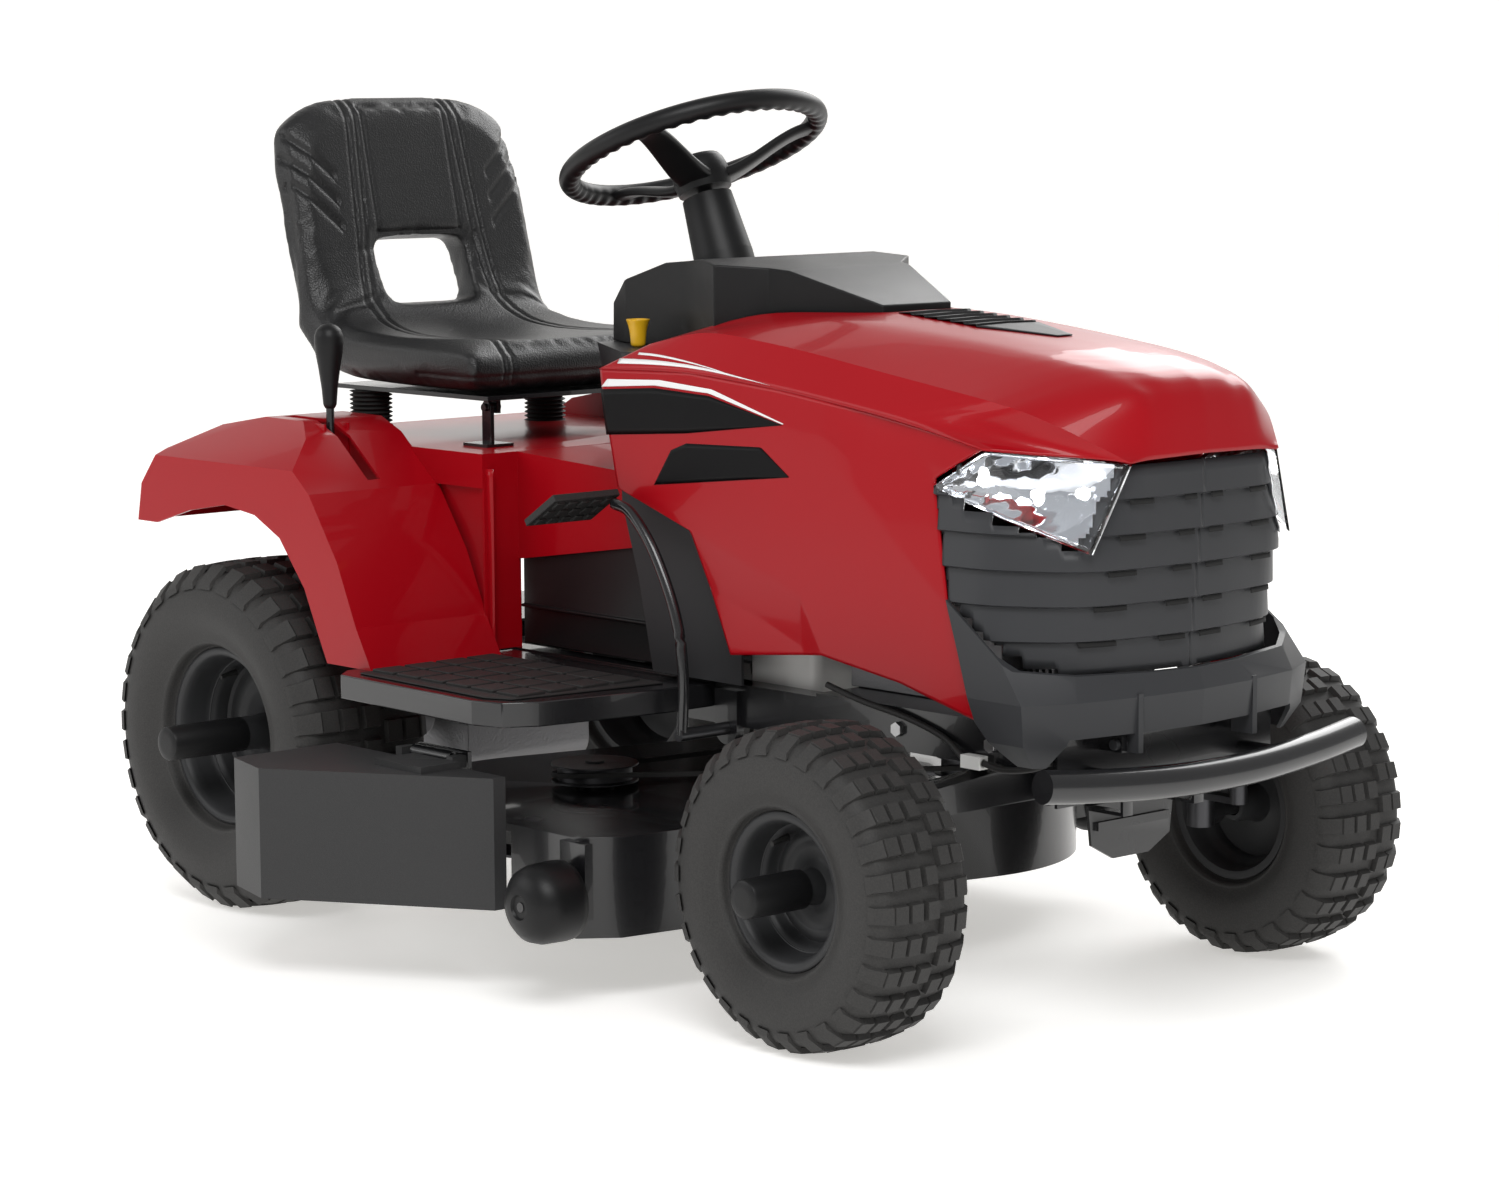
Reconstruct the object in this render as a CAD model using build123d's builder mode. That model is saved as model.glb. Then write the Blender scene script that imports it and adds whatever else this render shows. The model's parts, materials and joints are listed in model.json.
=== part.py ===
from build123d import *
from math import acos, cos, pi, radians, sin, sqrt, tan
import os

os.makedirs("parts", exist_ok=True)

# ---------------------------------------------------------------- driving sizes (mm)
# X runs forward from the rear axle, Y to the machine's left, Z up from the ground.
WHEELBASE = 1080.0
FRONT_TRACK = 745.0
REAR_TRACK = 700.0
FRONT_TYRE_R = 184.0
FRONT_TYRE_W = 150.0
FRONT_RIM_R = 82.0
REAR_TYRE_R = 228.0
REAR_TYRE_W = 212.0
REAR_RIM_R = 108.0
CAP_R = 21.5
FIT = 0.05            # radial running clearance
GAP = 1.0             # clearance between panels

RAIL_Y = 180.0        # outer face of the rails
RAIL_Z = (305.0, 352.0)
RAIL_T = 4.0
FLANGE = 30.0
NOSE_X = 1262.0       # front cross plate
TAIL_X = -130.0

BEAM_Z = 264.0        # front axle pivot height
PIVOT_R = 10.0
KINGPIN_Y = 265.0
KINGPIN_R = 9.5
SPINDLE_R = 9.5
ARM = 60.0            # steering arm length
LINK_R_Z = 218.0
LINK_L_Z = 234.0
STUD_R = 6.0

COLUMN_TILT = radians(22.5)
WHEEL_AT = (452.0, 987.0)
WHEEL_RIM_R = 162.0
SHAFT_R = 9.5
BOOT_R = 38.0
PINION_X = 683.0
GEAR_M = 3.0
PINION_N = 12
SECTOR_N = 60
PINION_RP = GEAR_M * PINION_N / 2
SECTOR_RP = GEAR_M * SECTOR_N / 2
SECTOR_X = PINION_X + SECTOR_RP - PINION_RP
SECTOR_Z = (248.0, 256.0)

ENGINE_X = 960.0
CRANK_R = 12.5
CRANK_PULLEY_R = 52.0
SPINDLE_PULLEY_R = 55.0
BELT_TOP_Z = 262.0
BELT_LOW_Z = 222.0

DECK_R = 240.0        # shell radius round each blade
DECK_Z = (80.0, 200.0)
DECK_T = 3.0
BLADE_R = 212.0
RIGHT_SPINDLE = (490.0, -205.0)
LEFT_SPINDLE = (590.0, 215.0)
DEFLECTOR_Y = -456.0
DEFLECTOR_Z = 268.0
ROLLER_R = 48.0
ROLLER_Z = 130.0

SEAT_HINGE = (215.0, 654.0)
SEAT_DECK_Z = 604.0
SEAT_HALF = 212.0
FENDER_Y = 430.0
FENDER_IN = 225.0
FENDER_T = 4.0

HOOD_HINGE = (1288.0, 338.0)
HOOD_T = 3.5
HOOD_SIDE = 232.0
PEDAL_AT = (718.0, 297.0)
PEDAL_Y = -258.0
LEVER_AT = (100.0, 318.0, 492.0)
HITCH_HOLE_R = 6.5

# the row frame stands at the bottom centre of the whole machine
X_MID = (1361.0 - REAR_TYRE_R) / 2
RIGHT_REACH = -645.0
LEFT_REACH = REAR_TRACK / 2 + REAR_TYRE_W / 2 + 60.0
Y_MID = (LEFT_REACH + RIGHT_REACH) / 2
HOME = Location((-X_MID, -Y_MID, 0))


# ---------------------------------------------------------------- helpers
def block(x, y, z, mode=Mode.ADD):
    """Box given by its three spans."""
    with Locations(((x[0] + x[1]) / 2, (y[0] + y[1]) / 2, (z[0] + z[1]) / 2)):
        Box(x[1] - x[0], y[1] - y[0], z[1] - z[0], mode=mode)


def rod(start, end, radius, mode=Mode.ADD):
    """Round bar between two points."""
    axis = Vector(*end) - Vector(*start)
    with BuildSketch(Plane(origin=start, z_dir=axis)) as disc:
        Circle(radius)
    extrude(disc.sketch, amount=axis.length, mode=mode)


def side(points, y, mode=Mode.ADD, inset=0.0):
    """Outline in X and Z carried across the Y span."""
    with BuildSketch(Plane(origin=(0, y[0], 0), x_dir=(1, 0, 0), z_dir=(0, -1, 0))) as outline:
        with BuildLine():
            Polyline(*points, close=True)
        make_face()
        if inset:
            offset(amount=-inset, kind=Kind.INTERSECTION, mode=Mode.REPLACE)
    extrude(outline.sketch, amount=-(y[1] - y[0]), mode=mode)


def plan(points, z, mode=Mode.ADD, inset=0.0):
    """Outline in X and Y carried up the Z span."""
    with BuildSketch(Plane.XY.offset(z[0])) as outline:
        with BuildLine():
            Polyline(*points, close=True)
        make_face()
        if inset:
            offset(amount=-inset, kind=Kind.INTERSECTION, mode=Mode.REPLACE)
    extrude(outline.sketch, amount=z[1] - z[0], mode=mode)


def section(points, x, mode=Mode.ADD):
    """Outline in Y and Z carried along the X span."""
    with BuildSketch(Plane(origin=(x[0], 0, 0), x_dir=(0, 1, 0), z_dir=(1, 0, 0))) as outline:
        with BuildLine():
            Polyline(*points, close=True)
        make_face()
    extrude(outline.sketch, amount=x[1] - x[0], mode=mode)


def bent_tube(points, radius):
    """Round bar along a smooth curve through the points."""
    with BuildLine() as route:
        Spline(*points)
    with BuildSketch(Plane(origin=points[0], z_dir=route.line % 0)) as disc:
        Circle(radius)
    sweep(disc.sketch, path=route.line)


def turned(points, centre):
    """Revolve (radius, y) points about a Y axis through centre = (x, z)."""
    with BuildSketch(Plane(origin=(centre[0], 0, centre[1]), x_dir=(1, 0, 0), z_dir=(0, 0, 1))) as outline:
        with BuildLine():
            Polyline(*points, close=True)
        make_face()
    revolve(outline.sketch, axis=Axis((centre[0], 0, centre[1]), (0, 1, 0)))


def both(points):
    """Plan outline closed by its mirror image in Y."""
    return points + [(x, -y) for x, y in reversed(points)]


def across(points):
    """Cross-section outline closed by its mirror image in Y."""
    return points + [(-y, z) for y, z in reversed(points)]


def involute(r, base):
    return sqrt(max((r / base) ** 2 - 1, 0)) - acos(min(base / r, 1))


def tooth(teeth, r_low, r_high, slack, steps=5):
    """Half-angle and radius pairs up one flank of an involute tooth."""
    pressure = radians(25)
    pitch = GEAR_M * teeth / 2
    base = pitch * cos(pressure)
    half = pi / (2 * teeth) + slack / (2 * pitch) + tan(pressure) - pressure
    radii = [r_low + (r_high - r_low) * i / steps for i in range(steps + 1)]
    return [(half - involute(max(r, base), base), r) for r in radii]


def tooth_outline(teeth, at, r_low, r_high, slack):
    flank = tooth(teeth, r_low, r_high, slack)
    low = [(r * cos(at - a), r * sin(at - a)) for a, r in flank]
    high = [(r * cos(at + a), r * sin(at + a)) for a, r in reversed(flank)]
    return low + high


# ---------------------------------------------------------------- frame
with BuildPart() as frame_rails:
    for s in (1, -1):
        web = sorted((s * RAIL_Y, s * (RAIL_Y - RAIL_T)))
        lip = sorted((s * RAIL_Y, s * (RAIL_Y - FLANGE)))
        block((TAIL_X, NOSE_X), web, RAIL_Z)
        block((TAIL_X, NOSE_X), lip, (RAIL_Z[1] - RAIL_T, RAIL_Z[1]))
        block((TAIL_X, NOSE_X), lip, (RAIL_Z[0], RAIL_Z[0] + RAIL_T))
        rod((PEDAL_AT[0], s * (RAIL_Y - RAIL_T), PEDAL_AT[1]), (PEDAL_AT[0], s * (RAIL_Y + 8), PEDAL_AT[1]), 20)
        block((PEDAL_AT[0] - 20, PEDAL_AT[0] + 20), sorted((s * (RAIL_Y - RAIL_T), s * (RAIL_Y + 8))),
              (PEDAL_AT[1], RAIL_Z[1] - 8))
    block((TAIL_X, TAIL_X + RAIL_T), (-RAIL_Y, RAIL_Y), (RAIL_Z[0] - 30, RAIL_Z[1]))
    block((-100, 120), (-RAIL_Y, RAIL_Y), (RAIL_Z[1], RAIL_Z[1] + RAIL_T))
    block((640, 860), (-RAIL_Y, RAIL_Y), (RAIL_Z[0] - 5, RAIL_Z[0]))
    block((870, 1170), (-RAIL_Y, RAIL_Y), (RAIL_Z[1], RAIL_Z[1] + RAIL_T))
    block((NOSE_X - RAIL_T, NOSE_X), (-RAIL_Y, RAIL_Y), (270, RAIL_Z[1]))
    for x in (WHEELBASE - 42, WHEELBASE + 38):
        block((x, x + RAIL_T), (-RAIL_Y + RAIL_T, RAIL_Y - RAIL_T), (RAIL_Z[0], RAIL_Z[1]))
        block((x, x + RAIL_T), (-48, 48), (BEAM_Z - 26, RAIL_Z[0] + 1))
    for s in (1, -1):
        block((NOSE_X - 2, HOOD_HINGE[0] + 8), (s * 108 - 4, s * 108 + 4), (HOOD_HINGE[1] - 9, HOOD_HINGE[1] + 10))
    rod((WHEELBASE - 50, 0, BEAM_Z), (WHEELBASE + 50, 0, BEAM_Z), PIVOT_R + FIT, Mode.SUBTRACT)
    rod((PINION_X, 0, 290), (PINION_X, 0, 310), SHAFT_R + FIT, Mode.SUBTRACT)
    rod((SECTOR_X, 0, 290), (SECTOR_X, 0, 310), 8.0 + FIT, Mode.SUBTRACT)
    rod((ENGINE_X, 0, 340), (ENGINE_X, 0, 360), 45, Mode.SUBTRACT)
    for s in (1, -1):
        rod((HOOD_HINGE[0], s * 100, HOOD_HINGE[1]), (HOOD_HINGE[0], s * 116, HOOD_HINGE[1]), 6 + FIT, Mode.SUBTRACT)
        rod((PEDAL_AT[0], s * 170, PEDAL_AT[1]), (PEDAL_AT[0], s * 190, PEDAL_AT[1]), 8 + FIT, Mode.SUBTRACT)
        for x in (1161, 1010, 240, 60):
            rod((x, s * 170, 330), (x, s * 185, 330), 5 + FIT, Mode.SUBTRACT)
    section([(-72, 252), (-66, 205), (-30, 186), (30, 186), (66, 205), (72, 252)], (1204, 1208))
    section([(-60, 232), (-60, 222), (60, 222), (60, 232)], (1208, 1213))
    for s in (1, -1):
        block((1204, NOSE_X - RAIL_T), (s * 60 - 8, s * 60 + 8), (246, 250))
        block((NOSE_X - RAIL_T - 4, NOSE_X - RAIL_T), (s * 60 - 8, s * 60 + 8), (246, 320))
    plan([(TAIL_X, -60), (TAIL_X, 60), (-200, 34), (-226, 20), (-226, -20), (-200, -34)], (282, 288))
    rod((-204, 0, 280), (-204, 0, 290), HITCH_HOLE_R, Mode.SUBTRACT)
frame_rails.part.label = "frame_rails"
export_step(frame_rails.part.moved(HOME), "parts/frame_rails.step")

with BuildPart() as frame_bolts:
    for s in (1, -1):
        for x in (1161, 1010, 240, 60):
            rod((x, s * (RAIL_Y - 12), 330), (x, s * RAIL_Y, 330), 5)
            with BuildSketch(Plane(origin=(x, s * RAIL_Y, 330), z_dir=(0, s, 0))):
                RegularPolygon(9, 6)
            extrude(amount=6)
frame_bolts.part.label = "frame_bolts"
export_step(frame_bolts.part.moved(HOME), "parts/frame_bolts.step")

with BuildPart() as front_bumper:
    with BuildLine():
        ThreePointArc((1318, -262, 312), (1342, 0, 298), (1318, 262, 312))
    with BuildSketch(Plane(origin=(1318, -262, 312), z_dir=(0.18, 1, -0.1))):
        Circle(19)
    sweep()
    for s in (1, -1):
        block((NOSE_X, 1330), (s * 130 - 12, s * 130 + 12), (294, 312))
front_bumper.part.label = "front_bumper"
export_step(front_bumper.part.moved(HOME), "parts/front_bumper.step")

with BuildPart() as pivot_pins:
    rod((WHEELBASE - 48, 0, BEAM_Z), (WHEELBASE + 46, 0, BEAM_Z), PIVOT_R)
    rod((WHEELBASE + 42, 0, BEAM_Z), (WHEELBASE + 51, 0, BEAM_Z), 16)
    rod((SECTOR_X, 0, SECTOR_Z[0] - 10), (SECTOR_X, 0, RAIL_Z[0] + 6), 8)
    rod((SECTOR_X, 0, SECTOR_Z[0] - 12), (SECTOR_X, 0, SECTOR_Z[0] - 5), 13)
    rod((SECTOR_X, 0, RAIL_Z[0]), (SECTOR_X, 0, RAIL_Z[0] + 7), 14)
pivot_pins.part.label = "pivot_pins"
export_step(pivot_pins.part.moved(HOME), "parts/pivot_pins.step")

with BuildPart() as transaxle:
    block((-85, 105), (-105, 105), (150, RAIL_Z[0] - 1))
    fillet(transaxle.edges().filter_by(Axis.Y), radius=28)
    for s in (1, -1):
        rod((0, s * 100, REAR_TYRE_R), (0, s * 222, REAR_TYRE_R), 34)
        block((-30, 30), sorted((s * 150, s * 176)), (REAR_TYRE_R, RAIL_Z[0] - 1))
    rod((0, -230, REAR_TYRE_R), (0, 230, REAR_TYRE_R), 12.5 + FIT, Mode.SUBTRACT)
transaxle.part.label = "transaxle"
export_step(transaxle.part.moved(HOME), "parts/transaxle.step")

# ---------------------------------------------------------------- front axle and steering
with BuildPart() as axle_beam:
    section([(-KINGPIN_Y, 242), (-60, 242), (60, 242), (KINGPIN_Y, 242), (KINGPIN_Y, 270),
             (60, 286), (-60, 286), (-KINGPIN_Y, 270)], (WHEELBASE - 20, WHEELBASE + 20))
    rod((WHEELBASE - 32, 0, BEAM_Z), (WHEELBASE + 32, 0, BEAM_Z), 21)
    for s in (1, -1):
        rod((WHEELBASE, s * KINGPIN_Y, 242), (WHEELBASE, s * KINGPIN_Y, 288), 19)
        rod((WHEELBASE, s * KINGPIN_Y, 210), (WHEELBASE, s * KINGPIN_Y, 295), KINGPIN_R + FIT, Mode.SUBTRACT)
    rod((WHEELBASE - 40, 0, BEAM_Z), (WHEELBASE + 40, 0, BEAM_Z), PIVOT_R + FIT, Mode.SUBTRACT)
axle_beam.part.label = "axle_beam"
export_step(axle_beam.part.moved(HOME), "parts/axle_beam.step")


def knuckle(s, stud_low, stud_high):
    """Upright pin, spindle and forward steering arm on side s."""
    hub_y = s * (FRONT_TRACK / 2 + 62)
    y = s * KINGPIN_Y
    rod((WHEELBASE, y, 168), (WHEELBASE, y, 211), 17)
    rod((WHEELBASE, y, 205), (WHEELBASE, y, 294), KINGPIN_R)
    rod((WHEELBASE, y, 239.5), (WHEELBASE, y, 241.5), 14)
    rod((WHEELBASE, y, 289), (WHEELBASE, y, 293), 15)
    rod((WHEELBASE, y, FRONT_TYRE_R), (WHEELBASE, hub_y, FRONT_TYRE_R), SPINDLE_R)
    rod((WHEELBASE, y, FRONT_TYRE_R), (WHEELBASE, s * 292, FRONT_TYRE_R), 16)
    block((WHEELBASE, WHEELBASE + ARM), (y - 10, y + 10), (203, 211))
    rod((WHEELBASE + ARM, y, 203), (WHEELBASE + ARM, y, stud_low), 11)
    rod((WHEELBASE + ARM, y, 203), (WHEELBASE + ARM, y, stud_high), STUD_R)


with BuildPart() as right_knuckle:
    knuckle(-1, 211.5, LINK_R_Z + 8)
right_knuckle.part.label = "right_knuckle"
export_step(right_knuckle.part.moved(HOME), "parts/right_knuckle.step")

with BuildPart() as left_knuckle:
    knuckle(1, LINK_L_Z - 6.5, LINK_L_Z + 7)
left_knuckle.part.label = "left_knuckle"
export_step(left_knuckle.part.moved(HOME), "parts/left_knuckle.step")


def drag_link(s, z):
    """Rod from the loose eye at the sector stud to the knuckle stud."""
    inner = (SECTOR_X + ARM, 0, z)
    outer = (WHEELBASE + ARM, s * KINGPIN_Y, z)
    rod(inner, outer, 5)
    rod((inner[0], 0, z - 6), (inner[0], 0, z + 6), 20)
    rod((outer[0], outer[1], z - 6), (outer[0], outer[1], z + 6), 12)
    rod((inner[0], 0, z - 9), (inner[0], 0, z + 9), 13, Mode.SUBTRACT)
    rod((outer[0], outer[1], z - 9), (outer[0], outer[1], z + 9), STUD_R + FIT, Mode.SUBTRACT)


with BuildPart() as right_drag_link:
    drag_link(-1, LINK_R_Z)
right_drag_link.part.label = "right_drag_link"
export_step(right_drag_link.part.moved(HOME), "parts/right_drag_link.step")

with BuildPart() as left_drag_link:
    drag_link(1, LINK_L_Z)
left_drag_link.part.label = "left_drag_link"
export_step(left_drag_link.part.moved(HOME), "parts/left_drag_link.step")

with BuildPart() as steering_sector:
    spread = radians(58)
    rim_r = SECTOR_RP + 15
    arc = [pi - spread + 2 * spread * i / 14 for i in range(15)]
    outline = [(ARM + 14, -14), (ARM + 14, 14), (20, 26)]
    outline += [(rim_r * cos(a), rim_r * sin(a)) for a in arc]
    outline += [(20, -26)]
    slot = radians(51)
    inner_r = SECTOR_RP - PINION_RP - PINION_RP - 7
    tip_r = SECTOR_RP - 0.7 * GEAR_M
    turns = [pi - slot + 2 * slot * i / 48 for i in range(49)]
    window = [(tip_r * cos(a), tip_r * sin(a)) for a in turns]
    window += [(inner_r * cos(a), inner_r * sin(a)) for a in reversed(turns)]
    with BuildSketch(Plane(origin=(SECTOR_X, 0, SECTOR_Z[0]))):
        with BuildLine():
            Polyline(*outline, close=True)
        make_face()
        Circle(8 + FIT, mode=Mode.SUBTRACT)
        with BuildLine():
            Polyline(*window, close=True)
        make_face(mode=Mode.SUBTRACT)
        for k in range(-8, 9):
            with BuildLine():
                Polyline(*tooth_outline(SECTOR_N, pi + k * 2 * pi / SECTOR_N, tip_r - 1.5,
                                        SECTOR_RP + GEAR_M, 0.35), close=True)
            make_face(mode=Mode.SUBTRACT)
    extrude(amount=SECTOR_Z[1] - SECTOR_Z[0])
    rod((SECTOR_X, 0, SECTOR_Z[0] - 4), (SECTOR_X, 0, SECTOR_Z[1] + 12), 16)
    rod((SECTOR_X, 0, SECTOR_Z[0] - 6), (SECTOR_X, 0, SECTOR_Z[1] + 20), 8 + FIT, Mode.SUBTRACT)
    rod((SECTOR_X + ARM, 0, 204.5), (SECTOR_X + ARM, 0, SECTOR_Z[0]), STUD_R)
    rod((SECTOR_X + ARM, 0, 203), (SECTOR_X + ARM, 0, 206), 11)
steering_sector.part.label = "steering_sector"
export_step(steering_sector.part.moved(HOME), "parts/steering_sector.step")

COLUMN = Vector(sin(COLUMN_TILT), 0, -cos(COLUMN_TILT))
TOP = Vector(WHEEL_AT[0], 0, WHEEL_AT[1])


def down_column(length):
    point = TOP + COLUMN * length
    return (point.X, 0, point.Z)


JOINT_L = (PINION_X - WHEEL_AT[0]) / sin(COLUMN_TILT)
JOINT_Z = down_column(JOINT_L)[2]

with BuildPart() as pinion_shaft:
    with BuildSketch(Plane(origin=(PINION_X, 0, SECTOR_Z[0] - 2))):
        Circle(PINION_RP - GEAR_M)
        for k in range(PINION_N):
            with BuildLine():
                Polyline(*tooth_outline(PINION_N, k * 2 * pi / PINION_N, PINION_RP - GEAR_M - 0.6,
                                        PINION_RP + 0.7 * GEAR_M, -0.35), close=True)
            make_face()
    extrude(amount=12)
    rod((PINION_X, 0, SECTOR_Z[0] - 6), (PINION_X, 0, JOINT_Z - 24), SHAFT_R)
    rod((PINION_X, 0, JOINT_Z - 46), (PINION_X, 0, JOINT_Z - 9), 15)
    with Locations((PINION_X, 0, JOINT_Z)):
        Sphere(13)
pinion_shaft.part.label = "pinion_shaft"
export_step(pinion_shaft.part.moved(HOME), "parts/pinion_shaft.step")

with BuildPart() as steering_shaft:
    rod(down_column(24), down_column(JOINT_L - 20), SHAFT_R)
    rod(down_column(JOINT_L - 46), down_column(JOINT_L - 14), 15)
steering_shaft.part.label = "steering_shaft"
export_step(steering_shaft.part.moved(HOME), "parts/steering_shaft.step")

WHEEL_PLANE = Plane(origin=TOP, x_dir=(cos(COLUMN_TILT), 0, sin(COLUMN_TILT)), z_dir=COLUMN * -1)

with BuildPart() as steering_wheel:
    with BuildSketch(Plane(origin=TOP, x_dir=WHEEL_PLANE.x_dir, z_dir=(0, -1, 0))):
        with Locations((WHEEL_RIM_R, 0)):
            Circle(14)
    revolve(axis=Axis(TOP, COLUMN))
    rod(down_column(58), down_column(20), 38)
    for angle in (180, 62, -62):
        way = WHEEL_PLANE.x_dir.rotate(Axis((0, 0, 0), COLUMN * -1), angle)
        inner = TOP + COLUMN * 42 + way * 26
        outer = TOP + COLUMN * 6 + way * (WHEEL_RIM_R - 4)
        run = outer - inner
        with BuildSketch(Plane(origin=inner, x_dir=way.cross(COLUMN), z_dir=run)):
            Rectangle(46, 13)
        with BuildSketch(Plane(origin=outer, x_dir=way.cross(COLUMN), z_dir=run)):
            Rectangle(34, 11)
        loft()
    rod(down_column(60), down_column(24), SHAFT_R, Mode.SUBTRACT)
    rod(down_column(24), down_column(12), 30)
steering_wheel.part.label = "steering_wheel"
export_step(steering_wheel.part.moved(HOME), "parts/steering_wheel.step")

with BuildPart() as column_boot:
    with BuildSketch(Plane(origin=down_column(66), z_dir=COLUMN)):
        Circle(32)
    with BuildSketch(Plane(origin=down_column(146), z_dir=COLUMN)):
        Circle(BOOT_R)
    loft()
    rod(down_column(145), down_column(176), BOOT_R)
    rod(down_column(75), down_column(180), 29, Mode.SUBTRACT)
    rod(down_column(60), down_column(80), SHAFT_R + FIT, Mode.SUBTRACT)
column_boot.part.label = "column_boot"
export_step(column_boot.part.moved(HOME), "parts/column_boot.step")


# ---------------------------------------------------------------- road wheels
def tyre_profile(r, w, rim):
    """Rounded tyre section as (radius, y) points, closed through the bead."""
    half = w / 2
    bead = half * 0.66
    return [(rim, -bead), (rim + 10, -bead), (rim + 16, -half * 0.86), (rim + (r - rim) * 0.45, -half),
            (r - 24, -half * 0.97), (r - 9, -half * 0.86), (r, -half * 0.56), (r, half * 0.56),
            (r - 9, half * 0.86), (r - 24, half * 0.97), (rim + (r - rim) * 0.45, half),
            (rim + 16, half * 0.86), (rim + 10, bead), (rim, bead)]


def shifted(points, dy):
    return [(r, y + dy) for r, y in points]


FRONT = (WHEELBASE, FRONT_TYRE_R)
REAR = (0.0, REAR_TYRE_R)

with BuildPart() as front_right_tyre:
    turned(shifted(tyre_profile(FRONT_TYRE_R, FRONT_TYRE_W, FRONT_RIM_R), -FRONT_TRACK / 2), FRONT)
front_right_tyre.part.label = "front_right_tyre"
export_step(front_right_tyre.part.moved(HOME), "parts/front_right_tyre.step")

with BuildPart() as front_left_tyre:
    turned(shifted(tyre_profile(FRONT_TYRE_R, FRONT_TYRE_W, FRONT_RIM_R), FRONT_TRACK / 2), FRONT)
front_left_tyre.part.label = "front_left_tyre"
export_step(front_left_tyre.part.moved(HOME), "parts/front_left_tyre.step")

with BuildPart() as rear_right_tyre:
    turned(shifted(tyre_profile(REAR_TYRE_R, REAR_TYRE_W, REAR_RIM_R), -REAR_TRACK / 2), REAR)
rear_right_tyre.part.label = "rear_right_tyre"
export_step(rear_right_tyre.part.moved(HOME), "parts/rear_right_tyre.step")

with BuildPart() as rear_left_tyre:
    turned(shifted(tyre_profile(REAR_TYRE_R, REAR_TYRE_W, REAR_RIM_R), REAR_TRACK / 2), REAR)
rear_left_tyre.part.label = "rear_left_tyre"
export_step(rear_left_tyre.part.moved(HOME), "parts/rear_left_tyre.step")


def wheel(s, centre, track, rim, width, bore, hub_end, hub_start):
    """Rim with a hub running from hub_start to hub_end, outboard positive."""
    y = s * track / 2
    half = width / 2 * 0.66
    barrel = [(rim - 4, -half + 4), (rim - 4, half - 4), (rim, half - 2), (rim, half), (rim + 8, half + 1),
              (rim + 8, half + 5), (rim - 5, half + 5), (rim - 8, half * 0.5), (rim - 8, -half * 0.5),
              (rim - 5, -half - 5), (rim + 8, -half - 5), (rim + 8, -half - 1), (rim, -half), (rim, -half + 2)]
    turned(shifted(barrel, y), centre)
    disc = [(bore + 4, y), (rim - 6, y), (rim - 6, y + s * 5), (bore + 4, y + s * 5)]
    turned(disc, centre)
    hub = [(bore, y + s * hub_start), (bore + 9, y + s * hub_start), (bore + 9, y + s * hub_end),
           (bore, y + s * hub_end)]
    turned(hub, centre)


with BuildPart() as front_right_rim:
    wheel(-1, FRONT, FRONT_TRACK, FRONT_RIM_R, FRONT_TYRE_W, SPINDLE_R + FIT, 60, -70)
front_right_rim.part.label = "front_right_rim"
export_step(front_right_rim.part.moved(HOME), "parts/front_right_rim.step")

with BuildPart() as front_left_rim:
    wheel(1, FRONT, FRONT_TRACK, FRONT_RIM_R, FRONT_TYRE_W, SPINDLE_R + FIT, 60, -70)
front_left_rim.part.label = "front_left_rim"
export_step(front_left_rim.part.moved(HOME), "parts/front_left_rim.step")

with BuildPart() as rear_right_rim:
    wheel(-1, REAR, REAR_TRACK, REAR_RIM_R, REAR_TYRE_W, 12.0, 80, -100)
    rod((0, -8, REAR_TYRE_R), (0, -(REAR_TRACK / 2 + 84), REAR_TYRE_R), 12.5)
rear_right_rim.part.label = "rear_right_rim"
export_step(rear_right_rim.part.moved(HOME), "parts/rear_right_rim.step")

with BuildPart() as rear_left_rim:
    wheel(1, REAR, REAR_TRACK, REAR_RIM_R, REAR_TYRE_W, 12.0, 80, -100)
    rod((0, 8, REAR_TYRE_R), (0, REAR_TRACK / 2 + 84, REAR_TYRE_R), 12.5)
rear_left_rim.part.label = "rear_left_rim"
export_step(rear_left_rim.part.moved(HOME), "parts/rear_left_rim.step")


def hub_cap(s, centre, track, hub_start, reach, shaft_r, shaft_end):
    """Round black cap over the hub end, hollow for the shaft end."""
    y = s * track / 2
    rod((centre[0], y + s * hub_start, centre[1]), (centre[0], y + s * reach, centre[1]), CAP_R + 1.5)
    rod((centre[0], y + s * (hub_start - 1), centre[1]), (centre[0], y + s * shaft_end, centre[1]),
        shaft_r, Mode.SUBTRACT)


with BuildPart() as front_right_cap:
    hub_cap(-1, FRONT, FRONT_TRACK, 60, FRONT_TYRE_W / 2 + 40, SPINDLE_R + 1, 64)
front_right_cap.part.label = "front_right_cap"
export_step(front_right_cap.part.moved(HOME), "parts/front_right_cap.step")

with BuildPart() as front_left_cap:
    hub_cap(1, FRONT, FRONT_TRACK, 60, FRONT_TYRE_W / 2 + 40, SPINDLE_R + 1, 64)
front_left_cap.part.label = "front_left_cap"
export_step(front_left_cap.part.moved(HOME), "parts/front_left_cap.step")

with BuildPart() as rear_right_cap:
    hub_cap(-1, REAR, REAR_TRACK, 80, REAR_TYRE_W / 2 + 60, 12.5, 84)
rear_right_cap.part.label = "rear_right_cap"
export_step(rear_right_cap.part.moved(HOME), "parts/rear_right_cap.step")

with BuildPart() as rear_left_cap:
    hub_cap(1, REAR, REAR_TRACK, 80, REAR_TYRE_W / 2 + 60, 12.5, 84)
rear_left_cap.part.label = "rear_left_cap"
export_step(rear_left_cap.part.moved(HOME), "parts/rear_left_cap.step")


# ---------------------------------------------------------------- rear bodywork
POD_TOP = [(-182, 498), (-172, 548), (-130, 596), (-70, 628), (0, 641), (85, 640), (128, 622),
           (205, 560), (262, 480), (300, 400), (330, 350)]
POD_ARCH = [(238, 350), (222, 380), (192, 440), (140, 500), (86, 525), (20, 533), (-60, 520), (-137, 498)]
POD_LOW = [(200, 300), (-140, 300)]


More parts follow.
